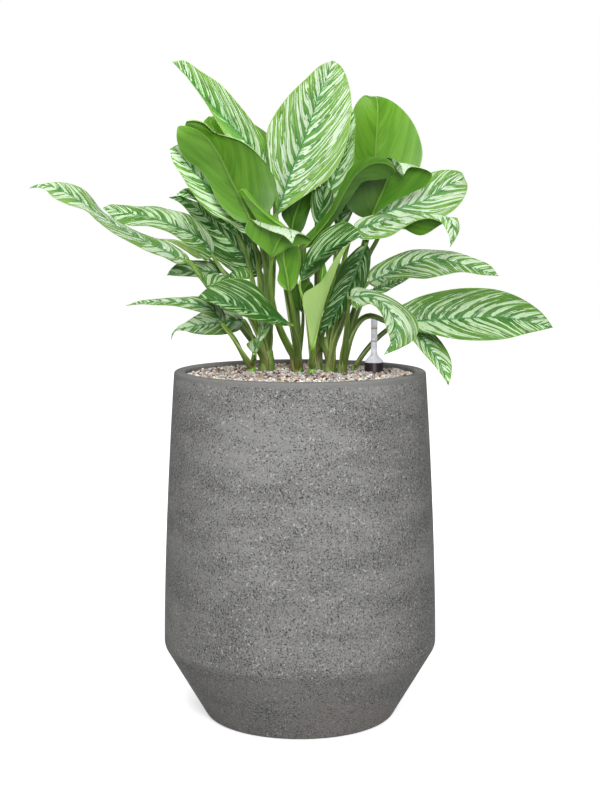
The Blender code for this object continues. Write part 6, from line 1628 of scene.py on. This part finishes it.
@dataclass
class Foliage:
    """The leaf blades: each a closed shell of two faces, with its midrib, side veins, waves and rolls."""

    rows: int = 61
    side_columns: int = 16
    curl_columns: int = 8
    thickness: float = 0.5
    base_half: float = 1.5
    tip_half: float = 0.35
    cup: float = 0.06
    groove: float = 1.1
    groove_half: float = 2.6
    rib_depth: float = 1.6
    pleat: float = 0.2
    pleat_length: float = 15.0
    vein_slope: float = 0.75
    vein_steepening: float = 0.6
    even_power: float = 1.35

    def margins(self, blade: Blade) -> list[np.ndarray]:
        """The midrib and both margins as places: a margin's depth is the midrib's at the same share of
        the length in the picture, plus the point's own offset."""
        rib = SIGHT.places(blade.rib)
        rib_points = np.array(blade.rib)
        shares = shares_of(rib)
        curves = [rib]
        for side in (blade.left, blade.right):
            points = np.array(side)
            flat = np.vstack([rib_points[0, :2], points[:, :2], rib_points[-1, :2]])
            depth = np.interp(shares_of(flat)[1:-1], shares, rib_points[:, 2]) + points[:, 2]
            curve = SIGHT.places(np.column_stack([points[:, :2], depth]))
            curves.append(np.vstack([rib[0], curve, rib[-1]]))
        return curves

    def vein_of(self, t: np.ndarray, x: np.ndarray, length: float, widest: float) -> np.ndarray:
        """How far up the midrib a point's side vein leaves it.

        A vein that leaves at y0 has climbed to y0 + x (0.75 + 0.6 t^2) + x^2 / w at x from the midrib.

        Args:
            t: the point's share of the length.
            x: its distance from the midrib.
            length: the blade's length.
            widest: half its greatest width, w.

        Returns:
            The y0 of each point.
        """
        return t * length - x * (self.vein_slope + self.vein_steepening * t**2) - x**2 / widest

    def surface(self, blade: Blade, dress: Dress, number: int) -> BladeSurface:
        """Work out the blade's middle surface.

        A point at share s of the way from midrib to margin lies at rib + s (margin - rib), lifted along
        the upper normal by the cupping 4 c w s (1 - s), by the margin's wave, which grows as s squared,
        and by the pleats between side veins, and lowered by the groove g exp(-(x / h)^2) at the midrib.

        Args:
            blade: the blade as read.
            dress: its waves and rolls.
            number: its number, which sets the phase of its waves.

        Returns:
            The surface.
        """
        rib_curve, left_curve, right_curve = self.margins(blade)
        rib, length = smooth_path(rib_curve, self.rows)
        sides = [smooth_path(curve, self.rows)[0] - rib for curve in (left_curve, right_curve)]
        t = np.linspace(0.0, 1.0, self.rows)
        least = self.base_half + (self.tip_half - self.base_half) * t
        directions, halves = [], []
        for offset in sides:
            direction = unit(offset)
            direction[0], direction[-1] = direction[1], direction[-2]
            halves.append(np.maximum(np.linalg.norm(offset, axis=1), least))
            directions.append(direction)
        ahead = np.gradient(rib, axis=0)
        across = sides[1] - sides[0]
        across[0], across[-1] = across[1], across[-2]
        up = unit(np.cross(across, ahead))
        width = (halves[0] + halves[1]) / 2
        widest = float(width.max())
        q = np.linspace(0.0, 1.0, self.side_columns + 1) ** self.even_power
        taper = np.sin(math.pi * t) ** 0.6
        parts = []
        for side, (direction, half) in enumerate(zip(directions, halves)):
            x = q[None] * half[:, None]
            phase = number * 1.7 + side * 2.3
            run = t[:, None] * length
            swing = np.sin(run / 26.0 + phase) + 0.6 * np.sin(run / 11.0 + 2 * phase)
            wave = dress.wave * taper[:, None] * q[None] ** 2 * swing
            vein = self.vein_of(t[:, None], x, length, widest)
            pleat = self.pleat * np.sin(math.tau * vein / self.pleat_length) * (1 - q)
            pleat = pleat * np.clip(x / 12.0, 0, 1)
            lift = 4 * self.cup * width[:, None] * q * (1 - q) + wave + pleat
            lift = lift - self.groove * (1 - 0.7 * t[:, None]) * np.exp(-((x / self.groove_half) ** 2))
            points = rib[:, None] + x[..., None] * direction[:, None] + lift[..., None] * up[:, None]
            share = np.broadcast_to(q, x.shape)
            curls = [curl for curl in dress.curls if curl.side.value == side]
            if curls:
                points, x, share = self.roll(points, x, share, up, curls, t)
                vein = self.vein_of(t[:, None], x, length, widest)
            parts.append((points, x, share, vein))
        (lp, lx, lq, lv), (rp, rx, rq, rv) = parts
        points = np.concatenate([lp[:, :0:-1], rp], axis=1)
        signed = np.concatenate([-lx[:, :0:-1], rx], axis=1)
        share = np.concatenate([lq[:, :0:-1], rq], axis=1)
        vein = np.concatenate([lv[:, :0:-1], rv], axis=1)
        normal = unit(np.cross(np.gradient(points, axis=1), np.gradient(points, axis=0)))
        along = np.broadcast_to(t[:, None], share.shape)
        return BladeSurface(points, normal, along, signed, share, vein, lp.shape[1] - 1)

    def roll(self, points: np.ndarray, x: np.ndarray, share: np.ndarray, up: np.ndarray,
             curls: list[Curl], t: np.ndarray) -> tuple[np.ndarray, np.ndarray, np.ndarray]:
        """Carry a margin on round an arc, so that it rolls over.

        At angle a the margin has gone on by r sin a outward and r (1 - cos a) to the side that it rolls to,
        where r is the roll's width over its whole angle, and the width swells as a sine along the roll.

        Args:
            points: the half blade's points, row by row from the midrib out.
            x: their distances from the midrib.
            share: their shares of the way to the margin.
            up: the upper normal of each row.
            curls: the rolls on this side.
            t: the rows' shares of the length.

        Returns:
            The three arrays with the roll's columns added.
        """
        width = np.full(len(t), 0.4)
        turn = np.full(len(t), math.radians(60))
        toward = np.ones(len(t))
        for curl in curls:
            inside = np.clip((t - curl.start) / (curl.end - curl.start), 0, 1)
            swell = np.sin(math.pi * inside) ** 0.7
            width = np.maximum(width, curl.width * swell)
            turn = np.where(swell > 0, np.radians(curl.degrees) * np.clip(swell * 2, 0.3, 1), turn)
            toward = np.where(swell > 0, curl.up, toward)
        outward = unit(points[:, -1] - points[:, -2])
        lift = unit(up - outward * np.sum(up * outward, axis=1, keepdims=True))
        angle = turn[:, None] * np.linspace(0, 1, self.curl_columns + 1)[None, 1:]
        radius = (width / turn)[:, None]
        extra = (
            points[:, -1:]
            + (radius * np.sin(angle))[..., None] * outward[:, None]
            + (radius * (1 - np.cos(angle)) * toward[:, None])[..., None] * lift[:, None]
        )
        more = x[:, -1:] + radius * angle
        edge = np.broadcast_to(np.linspace(0.9, 1.0, self.curl_columns)[None], angle.shape)
        return (np.concatenate([points, extra], axis=1), np.concatenate([x, more], axis=1),
                np.concatenate([share * 0.96, edge], axis=1))

    def shell(self, name: str, surface: BladeSurface, dress: Dress, number: int) -> Shell:
        """Give the surface its two faces and its rim, and paint it.

        The faces stand half the thickness off the middle surface, and the under face is deeper by the
        midrib's ridge, d (1 - t) exp(-(x / 1.8)^2).

        Args:
            name: the piece's name.
            surface: the middle surface.
            dress: its painting.
            number: its number, which sets where its stripes fall.

        Returns:
            The closed shell.
        """
        rows, columns = surface.share.shape
        half = self.thickness / 2
        ridge = self.rib_depth * (1 - surface.along) * np.exp(-((surface.across / 1.8) ** 2))
        top = surface.points + surface.normals * half
        under = surface.points - surface.normals * (half + ridge)[..., None]
        count = rows * columns
        upper_faces = quads(rows, columns)
        edge = np.concatenate([
            np.arange(columns), np.arange(1, rows) * columns + columns - 1,
            np.arange(columns - 2, -1, -1) + (rows - 1) * columns, np.arange(rows - 2, 0, -1) * columns,
        ])
        following = np.roll(edge, -1)
        rim = np.stack([edge, edge + count, following + count, following], axis=1)
        left = surface.across < 0
        # painted light and shade: each blade's brightness over its halves and ends, and under that for its
        # under face
        shade = np.where(left, dress.left, dress.right) * dress.light
        blend = np.clip(np.abs(surface.across) / 3.0, 0, 1)
        shade = dress.light * (dress.left + dress.right) / 2 * (1 - blend) + shade * blend
        shade = shade * (dress.base + (dress.tip - dress.base) * surface.along)
        pale = dress.left_pale + (dress.right_pale - dress.left_pale) * np.where(left, 0.0, 1.0)
        paint = np.stack([shade, pale, np.full_like(shade, dress.deep)], axis=-1)
        low = paint * (dress.under, 0.0, 1.0) + (0.0, dress.paling, 0.0)
        tone = np.vstack([paint.reshape(-1, 3), low.reshape(-1, 3)])
        seed = np.full_like(shade, number * 3.7)
        lay = np.stack([surface.along, surface.share, seed], axis=-1).reshape(-1, 3)
        chart = np.stack([surface.vein, surface.across], axis=-1).reshape(-1, 2) * 0.1
        return Shell(
            name, np.vstack([top.reshape(-1, 3), under.reshape(-1, 3)]),
            [upper_faces, upper_faces[:, ::-1] + count, rim], [0, 1, 1],
            {"tone": tone, "lay": np.vstack([lay, lay])}, ("blade", np.vstack([chart, chart])),
        )

    def build(self) -> dict[str, BladeSurface]:
        """Make, dress and settle every blade, and return their surfaces by the node's name."""
        finishes = [UpperFinish().material(), UnderFinish().material()]
        surfaces = {}
        for number, (node, blade) in enumerate(BLADES.items()):
            dress = DRESSES.get(node, Dress())
            surfaces[node] = self.surface(blade, dress, number)
            name = node.removeprefix("leaf_") + "_leaf"
            shell = self.shell(name, surfaces[node], dress, number)
            settle(shell.make(finishes, 70.0), "leaf_green", node)
        return surfaces


@dataclass
class Studio:
    """The pale floor, the soft lights and the camera."""

    floor_half: float = 9.0
    backdrop: float = 1.0
    ambient: float = 0.2

    def lamp(self, name: str, place: Point, aim: Point, size: float, power: float) -> None:
        """An area light at a place in metres, turned to its aim.

        Args:
            name: its name.
            place: where it stands.
            aim: the point it faces.
            size: its side in metres.
            power: its power in watts.
        """
        data = bpy.data.lights.new(name, "AREA")
        data.size = size
        data.energy = power
        lamp = bpy.data.objects.new(name, data)
        lamp.location = place
        lamp.rotation_euler = (Vector(aim) - Vector(place)).to_track_quat("-Z", "Y").to_euler()
        bpy.context.scene.collection.objects.link(lamp)

    def world(self) -> None:
        """A white backdrop all round, whose light on the object is only the ambient share."""
        world = bpy.data.worlds.new("studio")
        world.use_nodes = True
        tree = world.node_tree
        sky = tree.nodes["Background"]
        sky.inputs["Color"].default_value = (1.0, 1.0, 1.0, 1.0)
        strength = tree.nodes.new("ShaderNodeMapRange")
        strength.inputs["To Min"].default_value = self.ambient
        strength.inputs["To Max"].default_value = self.backdrop
        path = tree.nodes.new("ShaderNodeLightPath")
        tree.links.new(path.outputs["Is Camera Ray"], strength.inputs["Value"])
        tree.links.new(strength.outputs["Result"], sky.inputs["Strength"])
        bpy.context.scene.world = world

    def build(self) -> None:
        """Lay the floor, hang the lights, set the world's pale light and place the camera."""
        half = self.floor_half * 1000.0
        corners = np.array([(-half, -half, 0), (half, -half, 0), (half, half, 0), (-half, half, 0)], float)
        sheet = Shell("floor", corners - (0, 0, 0.5), [np.array([[0, 1, 2, 3]])])
        floor = sheet.make([FloorFinish().material()])
        floor.visible_diffuse = False
        self.lamp("key", (0.3, -2.9, 1.5), (0.0, 0.0, 0.6), 0.9, 78.0)
        self.lamp("top", (-0.5, -1.0, 2.5), (0.0, 0.0, 0.9), 1.0, 26.0)
        self.lamp("back", (0.3, 2.2, 2.2), (0.0, 0.0, 0.8), 1.2, 16.0)
        self.world()
        bpy.context.scene.view_settings.view_transform = "Standard"
        data = bpy.data.cameras.new("camera")
        data.sensor_width = SIGHT.sensor
        data.lens = SIGHT.sensor * SIGHT.columns_per_slope / SIGHT.long_side
        camera = bpy.data.objects.new("camera", data)
        camera.location = (0.0, -SIGHT.distance * MM, SIGHT.height * MM)
        camera.rotation_euler = (math.pi / 2 - SIGHT.pitch, 0.0, 0.0)
        bpy.context.scene.collection.objects.link(camera)
        bpy.context.scene.camera = camera


def main() -> None:
    """Build the sub-assemblies in order, from the pot to the studio round it."""
    logging.basicConfig(level=logging.INFO, format="%(message)s")
    planter = Planter()
    planter.build()
    canes = Canes()
    gauge = Gauge()
    holes = [(*canes.place(shoot), shoot.radius) for shoot in SHOOTS.values()]
    Granulate(planter).build([*holes, (gauge.x, gauge.y, gauge.pipe_radius)])
    gauge.build()
    surfaces = Foliage().build()
    canes.build(surfaces)
    Studio().build()


if __name__ == "__main__":
    main()
